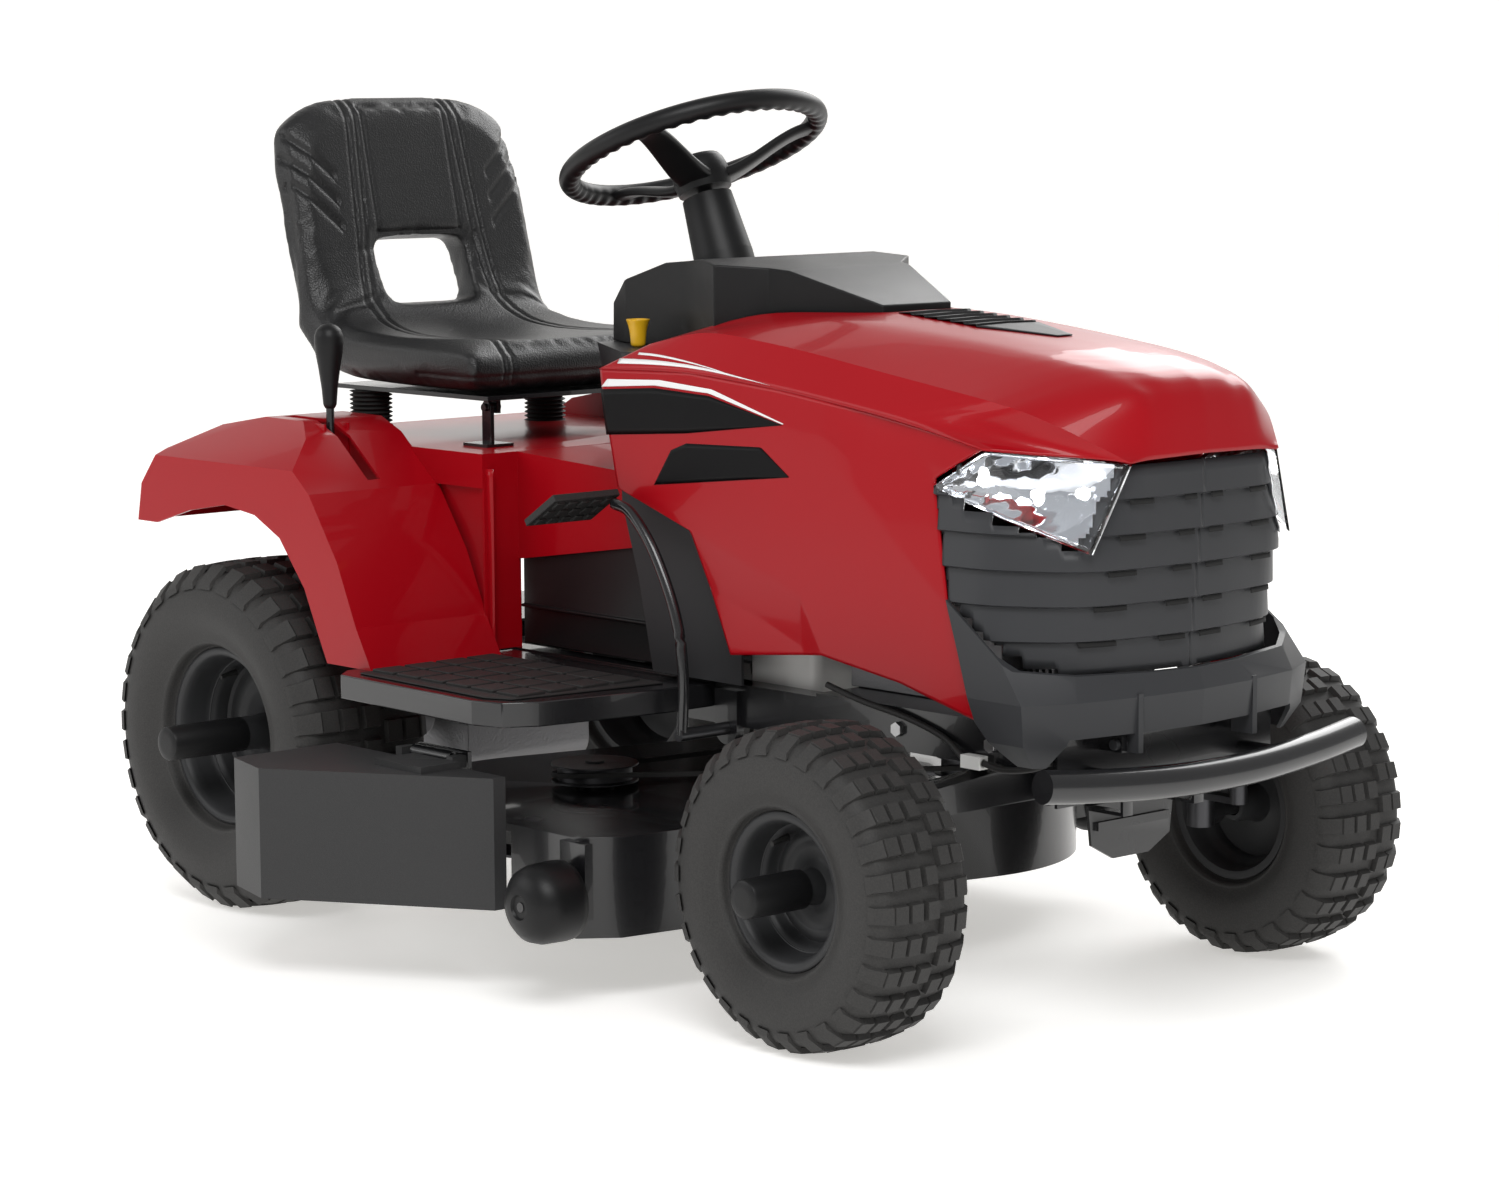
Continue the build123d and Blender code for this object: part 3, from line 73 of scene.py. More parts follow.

# %% [markdown]
# A piece is a mesh whose points are already in place. It is linked, parented to the body that
# carries it, and the frame parts it stands in for are hidden.

# %% Pieces from points
def mesh_piece(name, points, faces, material, body, hides=(), smooth=35.0):
    """Mesh from row-frame points; edges steeper than smooth degrees stay sharp."""
    mesh = bpy.data.meshes.new(name)
    mesh.from_pydata(np.asarray(points).reshape(-1, 3).tolist(), [],
                     [tuple(int(i) for i in f) for f in faces])
    mesh.validate()
    mesh.polygons.foreach_set("use_smooth", [True] * len(mesh.polygons))
    mesh.set_sharp_from_angle(angle=np.radians(smooth))
    mesh.materials.append(material)
    piece = bpy.data.objects.new(name, mesh)
    bpy.context.collection.objects.link(piece)
    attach(piece, body)
    if hides:
        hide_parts(*hides)
    return piece

# %% [markdown]
# Most pieces are grids of points. Faces join each point with its neighbours, and a thin pressed
# or moulded sheet gets its thickness afterwards, on its inner side.

# %% Grids and sheets
def grid_faces(rows, cols, wrap_rows=False, wrap_cols=False):
    """Quads of a rows x cols point grid, optionally closed either way."""
    r = np.arange(rows if wrap_rows else rows - 1)
    c = np.arange(cols if wrap_cols else cols - 1)
    a, b = np.meshgrid(r, c, indexing="ij")
    a2, b2 = (a + 1) % rows, (b + 1) % cols
    return np.stack([a * cols + b, a2 * cols + b, a2 * cols + b2, a * cols + b2], -1).reshape(-1, 4)


def shell(name, grid, material, body, thickness=2.5, hides=(), smooth=35.0, outward=None):
    """Thin sheet from a point grid, thickened inward by thickness millimetres."""
    rows, cols = grid.shape[:2]
    piece = mesh_piece(name, row(grid), grid_faces(rows, cols), material, body, hides, smooth)
    if outward is not None:
        mesh = piece.data
        normals = np.zeros(len(mesh.polygons) * 3)
        mesh.polygons.foreach_get("normal", normals)
        if float((normals.reshape(-1, 3) @ np.asarray(outward, float)).sum()) < 0:
            mesh.flip_normals()
    wall = piece.modifiers.new("wall", "SOLIDIFY")
    wall.thickness = thickness / 1000.0
    wall.offset = -1.0
    return piece


def both_sides(grid):
    """The same grid mirrored to the other side of the machine."""
    return grid * np.array([1.0, -1.0, 1.0])

# %% [markdown]
# Edges are drawn with few points. Corner cutting rounds them, and even steps along a line let
# lines of different lengths become rows of one grid.

# %% Lines
def resample(points, count):
    """Polyline walked at count even steps of arc length."""
    points = np.asarray(points, float)
    run = np.r_[0, np.cumsum(np.linalg.norm(np.diff(points, axis=0), axis=1))]
    at = np.linspace(0, run[-1], count)
    return np.stack([np.interp(at, run, points[:, k]) for k in range(points.shape[1])], -1)


def soften(points, rounds=2, cut=0.25, closed=False):
    """Corner cutting: each corner gives two points, cut of the way along its sides."""
    points = np.asarray(points, float)
    for _ in range(rounds):
        if closed:
            nxt = np.roll(points, -1, axis=0)
            pair = [points * (1 - cut) + nxt * cut, points * cut + nxt * (1 - cut)]
            points = np.stack(pair, 1).reshape(-1, points.shape[1])
        else:
            a, b = points[:-1], points[1:]
            mid = np.stack([a * (1 - cut) + b * cut, a * cut + b * (1 - cut)], 1).reshape(-1, points.shape[1])
            points = np.vstack([points[:1], mid[1:-1], points[-1:]])
    return points

# %% [markdown]
# Turned pieces are a profile spun round an axis, and rods and cables are a round section carried
# along a path.

# %% Turned and drawn pieces
def lathe(name, profile, centre, material, body, hides=(), axis="y", segments=96, smooth=35.0):
    """Closed (radius, reach) profile spun round an axis through centre."""
    profile = np.asarray(profile, float)
    angle = np.linspace(0, 2 * np.pi, segments, endpoint=False)[:, None]
    r, h = profile[None, :, 0], profile[None, :, 1]
    if axis == "y":
        grid = np.stack([centre[0] + r * np.cos(angle), centre[1] + h + 0 * angle,
                         centre[2] + r * np.sin(angle)], -1)
    else:
        grid = np.stack([centre[0] + r * np.cos(angle), centre[1] + r * np.sin(angle),
                         centre[2] + h + 0 * angle], -1)
    faces = grid_faces(segments, len(profile), wrap_rows=True, wrap_cols=True)
    piece = mesh_piece(name, row(grid), faces, material, body, hides, smooth)
    face_outward(piece)
    return piece


def face_outward(piece):
    """Recalculates normals outward after merging doubled points at the poles."""
    bm = bmesh.new()
    bm.from_mesh(piece.data)
    bmesh.ops.remove_doubles(bm, verts=bm.verts, dist=1e-6)
    bmesh.ops.recalc_face_normals(bm, faces=bm.faces)
    bm.to_mesh(piece.data)
    bm.free()


def tube(name, path, radius, material, body, hides=(), segments=20):
    """Round section carried along a path with parallel frames; ends are capped."""
    path = np.asarray(path, float)
    radius = np.broadcast_to(np.asarray(radius, float), len(path))
    way = np.gradient(path, axis=0)
    way /= np.linalg.norm(way, axis=1)[:, None]
    side = np.cross(way, [0.0, 0.0, 1.0])
    weak = np.linalg.norm(side, axis=1) < 0.2
    side[weak] = np.cross(way[weak], [0.0, 1.0, 0.0])
    side /= np.linalg.norm(side, axis=1)[:, None]
    up = np.cross(side, way)
    angle = np.linspace(0, 2 * np.pi, segments, endpoint=False)
    ring = side[:, None] * np.cos(angle)[None, :, None] + up[:, None] * np.sin(angle)[None, :, None]
    grid = path[:, None] + ring * radius[:, None, None]
    grid = np.concatenate([np.repeat(path[None, :1], segments, 1).reshape(1, segments, 3), grid,
                           np.repeat(path[None, -1:], segments, 1).reshape(1, segments, 3)])
    faces = grid_faces(len(path) + 2, segments, wrap_cols=True)
    piece = mesh_piece(name, row(grid), faces, material, body, hides, 50)
    face_outward(piece)
    return piece


def spline_path(points, count=60):
    """Catmull-Rom curve through the points, sampled at count places."""
    p = np.asarray(points, float)
    p = np.vstack([2 * p[0] - p[1], p, 2 * p[-1] - p[-2]])
    t = np.linspace(0, len(p) - 3 - 1e-9, count)
    i = t.astype(int)
    f = (t - i)[:, None]
    a, b, c, d = p[i], p[i + 1], p[i + 2], p[i + 3]
    return 0.5 * (2 * b + (c - a) * f + (2 * a - 5 * b + 4 * c - d) * f ** 2
                  + (3 * b - a - 3 * c + d) * f ** 3)


# %% [markdown]
# Real paint, moulded plastic and rubber are never one flat colour. A shared node group gives a
# finish its slow colour drift, its change of gloss and its fine texture height, and each
# material sets its own amounts.

# %% Surface finish group
def finish_group():
    """Node group: colour drift, dust in the grain, roughness drift and grain height."""
    group = bpy.data.node_groups.new("surface_finish", "ShaderNodeTree")
    inputs = (("Colour", "NodeSocketColor"), ("Drift", "NodeSocketFloat"), ("Roughness", "NodeSocketFloat"),
              ("Gloss Drift", "NodeSocketFloat"), ("Grain Scale", "NodeSocketFloat"),
              ("Dust", "NodeSocketFloat"))
    for label, kind in inputs:
        group.interface.new_socket(name=label, in_out="INPUT", socket_type=kind)
    for label, kind in (("Colour", "NodeSocketColor"), ("Roughness", "NodeSocketFloat"),
                        ("Height", "NodeSocketFloat")):
        group.interface.new_socket(name=label, in_out="OUTPUT", socket_type=kind)
    nodes, links = group.nodes, group.links
    enter, leave = nodes.new("NodeGroupInput"), nodes.new("NodeGroupOutput")
    place = nodes.new("ShaderNodeTexCoord")
    broad, grain = nodes.new("ShaderNodeTexNoise"), nodes.new("ShaderNodeTexNoise")
    pits = nodes.new("ShaderNodeTexVoronoi")
    broad.inputs["Scale"].default_value = 7.0
    broad.inputs["Detail"].default_value = 3.0
    grain.inputs["Detail"].default_value = 4.0
    for node in (broad, grain, pits):
        links.new(place.outputs["Object"], node.inputs["Vector"])
    links.new(enter.outputs["Grain Scale"], grain.inputs["Scale"])
    links.new(enter.outputs["Grain Scale"], pits.inputs["Scale"])
    span = nodes.new("ShaderNodeMath")
    span.operation = "MULTIPLY_ADD"
    links.new(broad.outputs["Fac"], span.inputs[0])
    links.new(enter.outputs["Drift"], span.inputs[1])
    half = nodes.new("ShaderNodeMath")
    half.operation = "MULTIPLY_ADD"
    links.new(enter.outputs["Drift"], half.inputs[0])
    half.inputs[1].default_value = -0.5
    half.inputs[2].default_value = 1.0
    links.new(half.outputs[0], span.inputs[2])
    tint = nodes.new("ShaderNodeVectorMath")
    tint.operation = "SCALE"
    links.new(enter.outputs["Colour"], tint.inputs[0])
    links.new(span.outputs[0], tint.inputs["Scale"])
    dust_mask = nodes.new("ShaderNodeMath")
    dust_mask.operation = "MULTIPLY"
    links.new(grain.outputs["Fac"], dust_mask.inputs[0])
    links.new(enter.outputs["Dust"], dust_mask.inputs[1])
    dusty = nodes.new("ShaderNodeMix")
    dusty.data_type = "RGBA"
    links.new(dust_mask.outputs[0], dusty.inputs["Factor"])
    links.new(tint.outputs[0], dusty.inputs[6])
    dusty.inputs[7].default_value = (0.34, 0.32, 0.29, 1.0)
    links.new(dusty.outputs[2], leave.inputs["Colour"])
    gloss = nodes.new("ShaderNodeMath")
    gloss.operation = "MULTIPLY_ADD"
    links.new(broad.outputs["Fac"], gloss.inputs[0])
    links.new(enter.outputs["Gloss Drift"], gloss.inputs[1])
    links.new(enter.outputs["Roughness"], gloss.inputs[2])
    links.new(gloss.outputs[0], leave.inputs["Roughness"])
    height = nodes.new("ShaderNodeMath")
    height.operation = "ADD"
    links.new(grain.outputs["Fac"], height.inputs[0])
    links.new(pits.outputs["Distance"], height.inputs[1])
    links.new(height.outputs[0], leave.inputs["Height"])
    return group


FINISH = finish_group()
print("finish group nodes:", len(FINISH.nodes))


def finish(name, colour, roughness, drift=0.12, gloss=0.08, grain=300.0, bump=0.1, depth=0.0004, dust=0.0,
           metallic=0.0, coat=0.0, specular=0.5, transmission=0.0, emission=0.0):
    """Principled material fed by the shared finish group."""
    material = bpy.data.materials.new(name)
    material.use_nodes = True
    nodes, links = material.node_tree.nodes, material.node_tree.links
    shader = nodes["Principled BSDF"]
    group = nodes.new("ShaderNodeGroup")
    group.node_tree = FINISH
    group.inputs["Colour"].default_value = (*colour, 1.0)
    group.inputs["Drift"].default_value = drift
    group.inputs["Roughness"].default_value = roughness - gloss / 2
    group.inputs["Gloss Drift"].default_value = gloss
    group.inputs["Grain Scale"].default_value = grain
    group.inputs["Dust"].default_value = dust
    links.new(group.outputs["Colour"], shader.inputs["Base Color"])
    links.new(group.outputs["Roughness"], shader.inputs["Roughness"])
    relief = nodes.new("ShaderNodeBump")
    relief.inputs["Strength"].default_value = bump
    relief.inputs["Distance"].default_value = depth
    links.new(group.outputs["Height"], relief.inputs["Height"])
    links.new(relief.outputs["Normal"], shader.inputs["Normal"])
    shader.inputs["Metallic"].default_value = metallic
    shader.inputs["Coat Weight"].default_value = coat
    shader.inputs["Coat Roughness"].default_value = 0.03
    shader.inputs["Specular IOR Level"].default_value = specular
    shader.inputs["Transmission Weight"].default_value = transmission
    if emission:
        shader.inputs["Emission Color"].default_value = (1.0, 0.98, 0.94, 1.0)
        shader.inputs["Emission Strength"].default_value = emission
    return material


# %% [markdown]
# Each finish is named for the maker's own material, except shadow_black, which is painted shade
# for the grille slots. The red is a deep glossy paint with a clear coat, the plastics are
# spark-eroded so their grain is fine, and the vinyl has a coarser grain.

# %% Finishes
RED = finish("red_gloss", (0.34, 0.0012, 0.006), 0.32, drift=0.05, gloss=0.04, grain=600, bump=0.02,
             depth=0.0001, coat=0.22, specular=0.16)
BLACK_PAINT = finish("black_gloss_paint", (0.008, 0.008, 0.009), 0.26, drift=0.2, gloss=0.08, grain=700,
                     bump=0.04, depth=0.0001, coat=0.35, specular=0.5)
RIM_PAINT = finish("rim_paint", (0.030, 0.0305, 0.032), 0.44, drift=0.15, gloss=0.1, grain=600, bump=0.06,
                   depth=0.0002, specular=0.28)
BLACK_PLASTIC = finish("black_moulded", (0.006, 0.006, 0.0065), 0.42, drift=0.2, gloss=0.12, grain=1100,
                       bump=0.22, depth=0.0003, specular=0.28)
DARK_PLASTIC = finish("charcoal_moulded", (0.020, 0.0205, 0.022), 0.44, drift=0.14, gloss=0.12, grain=900,
                      bump=0.18, depth=0.0003, specular=0.28)
GRILLE_PLASTIC = finish("grille_moulded", (0.036, 0.037, 0.040), 0.44, drift=0.12, gloss=0.1, grain=900,
                        bump=0.12, depth=0.0002, specular=0.28)
CHUTE_PLASTIC = finish("chute_moulded", (0.028, 0.0285, 0.030), 0.5, drift=0.16, gloss=0.14, grain=700,
                       bump=0.25, depth=0.0004, dust=0.05, specular=0.28)
RUBBER = finish("tyre_rubber", (0.020, 0.020, 0.0205), 0.60, drift=0.3, gloss=0.14, grain=500, bump=0.3,
                depth=0.0005, dust=0.10, specular=0.28)
MAT_RUBBER = finish("mat_rubber", (0.010, 0.010, 0.011), 0.6, drift=0.25, gloss=0.12, grain=500, bump=0.3,
                    depth=0.0004, dust=0.08, specular=0.28)
VINYL = finish("grained_vinyl", (0.008, 0.008, 0.0085), 0.40, drift=0.2, gloss=0.12, grain=420, bump=0.55,
               depth=0.0007, specular=0.5)
STEEL = finish("bright_steel", (0.5, 0.5, 0.5), 0.32, metallic=1.0, grain=500, bump=0.08, depth=0.0002)
DARK_STEEL = finish("oiled_steel", (0.08, 0.08, 0.085), 0.38, metallic=0.9, grain=400, bump=0.12,
                    depth=0.0003)
ALLOY = finish("cast_alloy", (0.3, 0.3, 0.31), 0.5, metallic=0.9, grain=260, bump=0.4, depth=0.0006)
YELLOW = finish("yellow_moulded", (0.75, 0.42, 0.01), 0.35, grain=900, bump=0.08, depth=0.0002)
WHITE_PLASTIC = finish("white_moulded", (0.72, 0.72, 0.70), 0.4, grain=900, bump=0.08, depth=0.0002)
WHITE_FILM = finish("white_film", (0.85, 0.85, 0.85), 0.28, drift=0.03, grain=900, bump=0.02, depth=0.0001,
                    coat=0.5)
BLACK_FILM = finish("black_film", (0.002, 0.002, 0.0025), 0.38, drift=0.1, grain=900, bump=0.02, depth=0.0001,
                    specular=0.12)
# Painted shade: near-black for the grille slots, flat sheets that stand in for the shade inside openings.
SLOT_SHADE_BLACK = finish("shadow_black", (0.002, 0.002, 0.002), 0.8, drift=0.05, grain=600, bump=0.05)
MIRROR_METAL = finish("lamp_mirror", (0.92, 0.93, 0.95), 0.06, metallic=1.0, drift=0.05, gloss=0.04, grain=60,
                      bump=0.03, depth=0.0006)
LAMP_GLOW = finish("lamp_glow", (1.0, 1.0, 1.0), 0.3, emission=22.0)
LENS = finish("clear_lens", (0.95, 0.97, 1.0), 0.03, drift=0.02, gloss=0.02, grain=90, bump=0.03,
              depth=0.0004, transmission=1.0)
print("finishes:", len(bpy.data.materials))

# %% [markdown]
# Hidden and simple hard parts keep the frame's own shape. Their meshes are merged, flat faces
# are joined up and a small bevel rounds each edge, so that it catches a highlight as a pressed
# or moulded edge does. Only the dash tower is reshaped: it is drawn in behind the bonnet.

# %% Softened copies of frame parts
BODY_OF = {node: body for body, nodes in frame["record"]["behaviour"]["bodies"].items() for node in nodes}


TOWER_FRONT_MM, TOWER_HALF_WIDTH, TOWER_FOOT = 548, 0.112, 0.575


def tuck_tower(bm):
    """Behind the bonnet's rear edge the tower's flanks draw in: y = sign(y) * min(|y|, half width)."""
    front = row((TOWER_FRONT_MM, 0, 0))[0]
    geometry = bm.verts[:] + bm.edges[:] + bm.faces[:]
    bmesh.ops.bisect_plane(bm, geom=geometry, plane_co=(front, 0, 0), plane_no=(1, 0, 0), dist=1e-5)
    for v in bm.verts:
        reach = v.co.y - HOME[1]
        if v.co.x < front - 0.001 and v.co.z > TOWER_FOOT:
            v.co.y = HOME[1] + np.sign(reach) * min(abs(reach), TOWER_HALF_WIDTH)
    bmesh.ops.triangulate(bm, faces=bm.faces)


def softened(node, material, bevel=1.5, angle=30.0, name=None):
    """Merged, limited-dissolved and bevelled copy of a frame node."""
    source = frame["nodes"][node]
    bm = bmesh.new()
    bm.from_mesh(source.data)
    bm.transform(source.matrix_world)
    bmesh.ops.remove_doubles(bm, verts=bm.verts, dist=1e-5)
    bmesh.ops.dissolve_limit(bm, angle_limit=np.radians(1.0), verts=bm.verts, edges=bm.edges)
    if node == "dash_tower":
        tuck_tower(bm)
    mesh = bpy.data.meshes.new(name or node + "_skin")
    bm.to_mesh(mesh)
    bm.free()
    mesh.polygons.foreach_set("use_smooth", [True] * len(mesh.polygons))
    mesh.set_sharp_from_angle(angle=np.radians(angle))
    mesh.materials.clear()
    mesh.materials.append(material)
    piece = bpy.data.objects.new(name or node + "_skin", mesh)
    bpy.context.collection.objects.link(piece)
    if bevel:
        edge = piece.modifiers.new("edge", "BEVEL")
        edge.width = bevel / 1000.0
        edge.segments = 4 if bevel > 5 else 2
        edge.limit_method = "ANGLE"
        edge.angle_limit = np.radians(angle)
        edge.harden_normals = False
    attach(piece, BODY_OF[node])
    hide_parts(node)
    return piece


SIMPLE = [("frame_rails", BLACK_PAINT, 1.0), ("frame_bolts", STEEL, 0.8), ("pivot_pins", DARK_STEEL, 1.0),
          ("transaxle", ALLOY, 3.0), ("tunnel_cover", BLACK_PLASTIC, 1.5), ("footrests", BLACK_PAINT, 2.5),
          ("seat_bracket", BLACK_PAINT, 0.8), ("engine_block", ALLOY, 3.0),
          ("engine_shroud", BLACK_PLASTIC, 5.0),
          ("fuel_tank", WHITE_PLASTIC, 2.0), ("harness_connector", WHITE_PLASTIC, 1.0),
          ("axle_beam", BLACK_PAINT, 2.0),
          ("right_knuckle", DARK_STEEL, 1.0), ("left_knuckle", DARK_STEEL, 1.0),
          ("right_drag_link", DARK_STEEL, 0.8),
          ("left_drag_link", DARK_STEEL, 0.8), ("steering_shaft", DARK_STEEL, 0.8),
          ("pinion_shaft", DARK_STEEL, 0.0),
          ("steering_sector", DARK_STEEL, 0.0), ("seat_pan", BLACK_PAINT, 1.0),
          ("crank_pulley", DARK_STEEL, 0.5),
          ("deck_shell", BLACK_PAINT, 1.0), ("deck_belt", MAT_RUBBER, 0.5), ("right_blade", DARK_STEEL, 0.8),
          ("left_blade", DARK_STEEL, 0.8), ("dash_tower", DARK_PLASTIC, 1.0),
          ("dash_cowl", BLACK_PLASTIC, 14.0),
          ("hood_vent", BLACK_PLASTIC, 1.0), ("deflector", CHUTE_PLASTIC, 3.0),
          ("column_boot", BLACK_PLASTIC, 1.5), ("fender_body", RED, 4.0), ("nose_skirt", GRILLE_PLASTIC, 3.0)]
for node, material, bevel in SIMPLE:
    softened(node, material, bevel)
print("softened parts:", len(SIMPLE))

# %% [markdown]
# A turf tyre is a rounded carcass with rows of square blocks. The carcass is a profile spun
# round the axle, with a step by the bead on each sidewall. The blocks are one small wedge
# repeated by array arithmetic, in staggered rows whose outer ones wrap over the shoulder.

# %% Tyres
def tyre_section(radius, width, rim):
    """Carcass outline as (radius, reach), bead to bead round the outside."""
    h = width / 2
    tread = radius - 7.0
    crown = [(tread - 15, h * 0.90), (tread - 5, h * 0.76), (tread - 1.5, h * 0.5), (tread, 0.0)]
    wall = [(rim + 0.5, h * 0.66), (rim + 10, h * 0.68), (rim + 12, h * 0.80), (rim + 15, h * 0.84),
            (rim + 18, h * 0.84),
            (rim + (tread - rim) * 0.35, h * 0.95), (rim + (tread - rim) * 0.5, h * 0.985),
            (rim + (tread - rim) * 0.68, h * 0.97)]
    upper = np.array(wall + crown)
    lower = upper[::-1][1:] * [1, -1]
    return soften(np.vstack([upper, lower]), 2, 0.22)


def tread_blocks(radius, rows_at, count, size, deep=7.0):
    """Blocks of eight corners each, four at the foot and four at the top, as one whole array.

    A corner's radius is the tread radius, less the row's drop, less the lean times how far
    outboard of the row's middle it lies. The top is drawn in to 0.86 of the foot.
    """
    reach, drop, lean = (np.array(v)[:, None, None, None] for v in zip(*rows_at))
    phase = (np.arange(len(rows_at)) % 2) * 0.5
    angle = ((np.arange(count) + phase[:, None]) / count * 2 * np.pi)[:, :, None, None]
    sink = (deep * (1 - np.array([0.0, 1.0])))[:, None]
    shrink = np.array([1.0, 0.86])[:, None]
    along, outward = np.array([[-1, 1, 1, -1], [-1, -1, 1, 1]])
    y = reach + outward * size[1] / 2 * shrink
    r = radius - drop - sink - lean * (np.sign(reach) * (y - reach))
    turn = angle + along * size[0] / 2 * shrink / radius
    y, r, turn = np.broadcast_arrays(y, r, turn)
    points = np.stack([r * np.cos(turn), y, r * np.sin(turn)], -1).reshape(-1, 3)
    sides = np.array([(4, 5, 6, 7), (0, 1, 5, 4), (1, 2, 6, 5), (2, 3, 7, 6), (3, 0, 4, 7)])
    first = np.arange(len(points) // 8)[:, None, None] * 8
    return points, (first + sides).reshape(-1, 4)


def build_tyre(name, node, body, centre, radius, width, rim, count, block_size):
    """Carcass, the section spun through a full turn, with the rows of blocks set on it."""
    section = tyre_section(radius, width, rim)
    angle = np.linspace(0, 2 * np.pi, 120, endpoint=False)[:, None]
    grid = np.stack([section[None, :, 0] * np.cos(angle), section[None, :, 1] + 0 * angle,
                     section[None, :, 0] * np.sin(angle)], -1)
    faces = grid_faces(120, len(section), wrap_rows=True, wrap_cols=True).tolist()
    h = width / 2
    rows_at = [(0.0, 0.0, 0.0), (h * 0.32, 0.6, 0.02), (-h * 0.32, 0.6, 0.02), (h * 0.60, 2.6, 0.12),
               (-h * 0.60, 2.6, 0.12), (h * 0.84, 13.0, 0.95), (-h * 0.84, 13.0, 0.95)]
    blocks, block_faces = tread_blocks(radius, rows_at, count, block_size)
    start = grid.size // 3
    points = np.vstack([grid.reshape(-1, 3), blocks]) + centre
    faces += (start + block_faces).tolist()
    piece = mesh_piece(name, row(points), faces, RUBBER, body, (node,), 40)
    face_outward(piece)
    return piece


WHEELS = {}
for side, s in (("right", -1), ("left", 1)):
    WHEELS["front_" + side] = (np.array([WHEELBASE, s * 372.5, 184.0]), 184.0, 150.0, 82.0, s)
    WHEELS["rear_" + side] = (np.array([0.0, s * 350.0, 228.0]), 228.0, 212.0, 108.0, s)
for key, (centre, radius, width, rim, s) in WHEELS.items():
    front = key.startswith("front")
    build_tyre(key + "_tyre_moulded", key + "_tyre", "wheel_" + key, centre, radius, width, rim,
               30 if front else 32, (23, 19) if front else (31, 26))
print("tyres built:", len(WHEELS))

# %% [markdown]
# The rim is a pressed steel dish: a rolled bead, a step for the tyre's seat, a deep well and a
# centre disc that carries the hub tube. A round plastic cap stands well out over the hub.

# %% Rims and caps
def rim_section(rim, width, s, bore):
    """Closed (radius, reach) outline of barrel, well, disc and hub; s is the outboard side."""
    h = width / 2 * 0.66
    face = [(rim + 8, h + 4), (rim + 8.5, h + 2), (rim + 6, h + 0.5), (rim + 1, h - 1), (rim - 1, h - 5),
            (rim - 4, h * 0.5), (rim - 12, h * 0.42), (rim - 12, -h * 0.45), (rim - 3, -h * 0.55),
            (rim - 1, -h + 5),
            (rim + 6, -h - 0.5), (rim + 8.5, -h - 3), (rim + 7, -h - 5), (rim - 4, -h - 3),
            (rim - 7, -h * 0.6),
            (rim - 15, -h * 0.4), (rim - 16, -6), (bore + 16, -6), (bore + 12, -14), (bore + 9, -h),
            (bore, -h), (bore, 58 * width / 150),
            (bore + 9, 58 * width / 150), (bore + 10, 10), (bore + 20, 1), (rim * 0.55, 0), (rim * 0.62, 5),
            (rim * 0.70, 6),
            (rim - 17, 3), (rim - 15, h * 0.36), (rim - 8, h * 0.46), (rim - 6, h * 0.9), (rim - 2, h + 3),
            (rim + 4, h + 5)]
    return np.array(face) * [1, s]


def cap_section(inner, start, end, radius, s):
    """Round-nosed cap outline as (radius, reach)."""
    out = [(inner, start), (radius, start), (radius, end - 5), (radius - 1.5, end - 2),
           (radius - 5, end - 0.3), (radius * 0.5, end), (0.01, end),
           (0.01, end - 4), (inner, end - 6)]
    return np.array(out) * [1, s]


for key, (centre, radius, width, rim, s) in WHEELS.items():
    body = "wheel_" + key
    front = key.startswith("front")
    lathe(key + "_rim_pressed",
          soften(rim_section(rim, width, s, 9.6 if front else 12.6), 1, 0.2, closed=True),
          centre, RIM_PAINT, body, (key + "_rim",), segments=96)
    hub, reach = (60, width / 2 + 40) if front else (80, width / 2 + 60)
    lathe(key + "_cap_moulded", cap_section(15.0, hub - 30, reach, 22.5, s), centre, BLACK_PLASTIC, body,
          (key + "_cap",), segments=48)
    stem_at = centre + [(rim - 20) * -0.55, s * (width * 0.10), (rim - 20) * 0.83]
    stem = np.array([stem_at, stem_at + [0, s * 10, -1], stem_at + [0, s * 24, -4]])
    tube(key + "_valve", stem, [4.5, 3.5, 3.0], MAT_RUBBER, body, segments=12)
print("rims, caps and valves built")

# %% [markdown]
# The bonnet is a skin over named lines: a flank line, a sharp shoulder crease and soft crown
# lines. Each is resampled to the same count, so the rows join into one grid. The flank is a
# second grid whose edges follow the sloped rear cut and the lower edge.

# %% Bonnet
FLANK = [(536, 230, 725), (700, 231, 730), (860, 230, 718), (1012, 229, 700), (1112, 227, 684),
         (1188, 224, 670)]
SHOULDER = [(606, 208, 757), (700, 200, 778), (860, 200, 763), (1012, 200, 742), (1204, 198, 716),
            (1262, 170, 692), (1317, 124, 656)]
CROWN_OUT = [(716, 127, 797), (860, 122, 794), (1012, 118, 781), (1200, 108, 760), (1290, 94, 738),
             (1308, 93, 718), (1318, 96, 657)]
CROWN_IN = [(866, 64, 799), (1012, 60, 787), (1200, 60, 767), (1290, 55, 746), (1311, 55, 722),
            (1320, 58, 658)]
CROWN_MID = [(868, 0, 800), (1012, 0, 788), (1200, 0, 768), (1292, 0, 748), (1313, 0, 724), (1321, 0, 659)]


def blend_rows(lines, count, between, round_cut=2):
    """Rows of even points, eased from one line to the next with between steps each."""
    rows = [resample(soften(line, round_cut, 0.2), count) for line in lines]
    out = []
    for a, b in zip(rows[:-1], rows[1:]):
        for t in np.linspace(0, 1, between, endpoint=False):
            out.append(a * (1 - t) + b * t)
    out.append(rows[-1])
    return np.array(out)


def smooth_across(grid, rounds, keep=()):
    """Averages each row with its neighbours; rows in keep stay as drawn."""
    grid = grid.copy()
    fixed = set(keep) | {0, len(grid) - 1}
    free = [i for i in range(len(grid)) if i not in fixed]
    for _ in range(rounds):
        grid[free] = (grid[[i - 1 for i in free]] + 2 * grid[free] + grid[[i + 1 for i in free]]) / 4
    return grid

# %% [markdown]
# The side has a half width at every place in side view. It is drawn in towards the shoulder, and
# a slanting fold and a tuck along the lower edge thin it further.

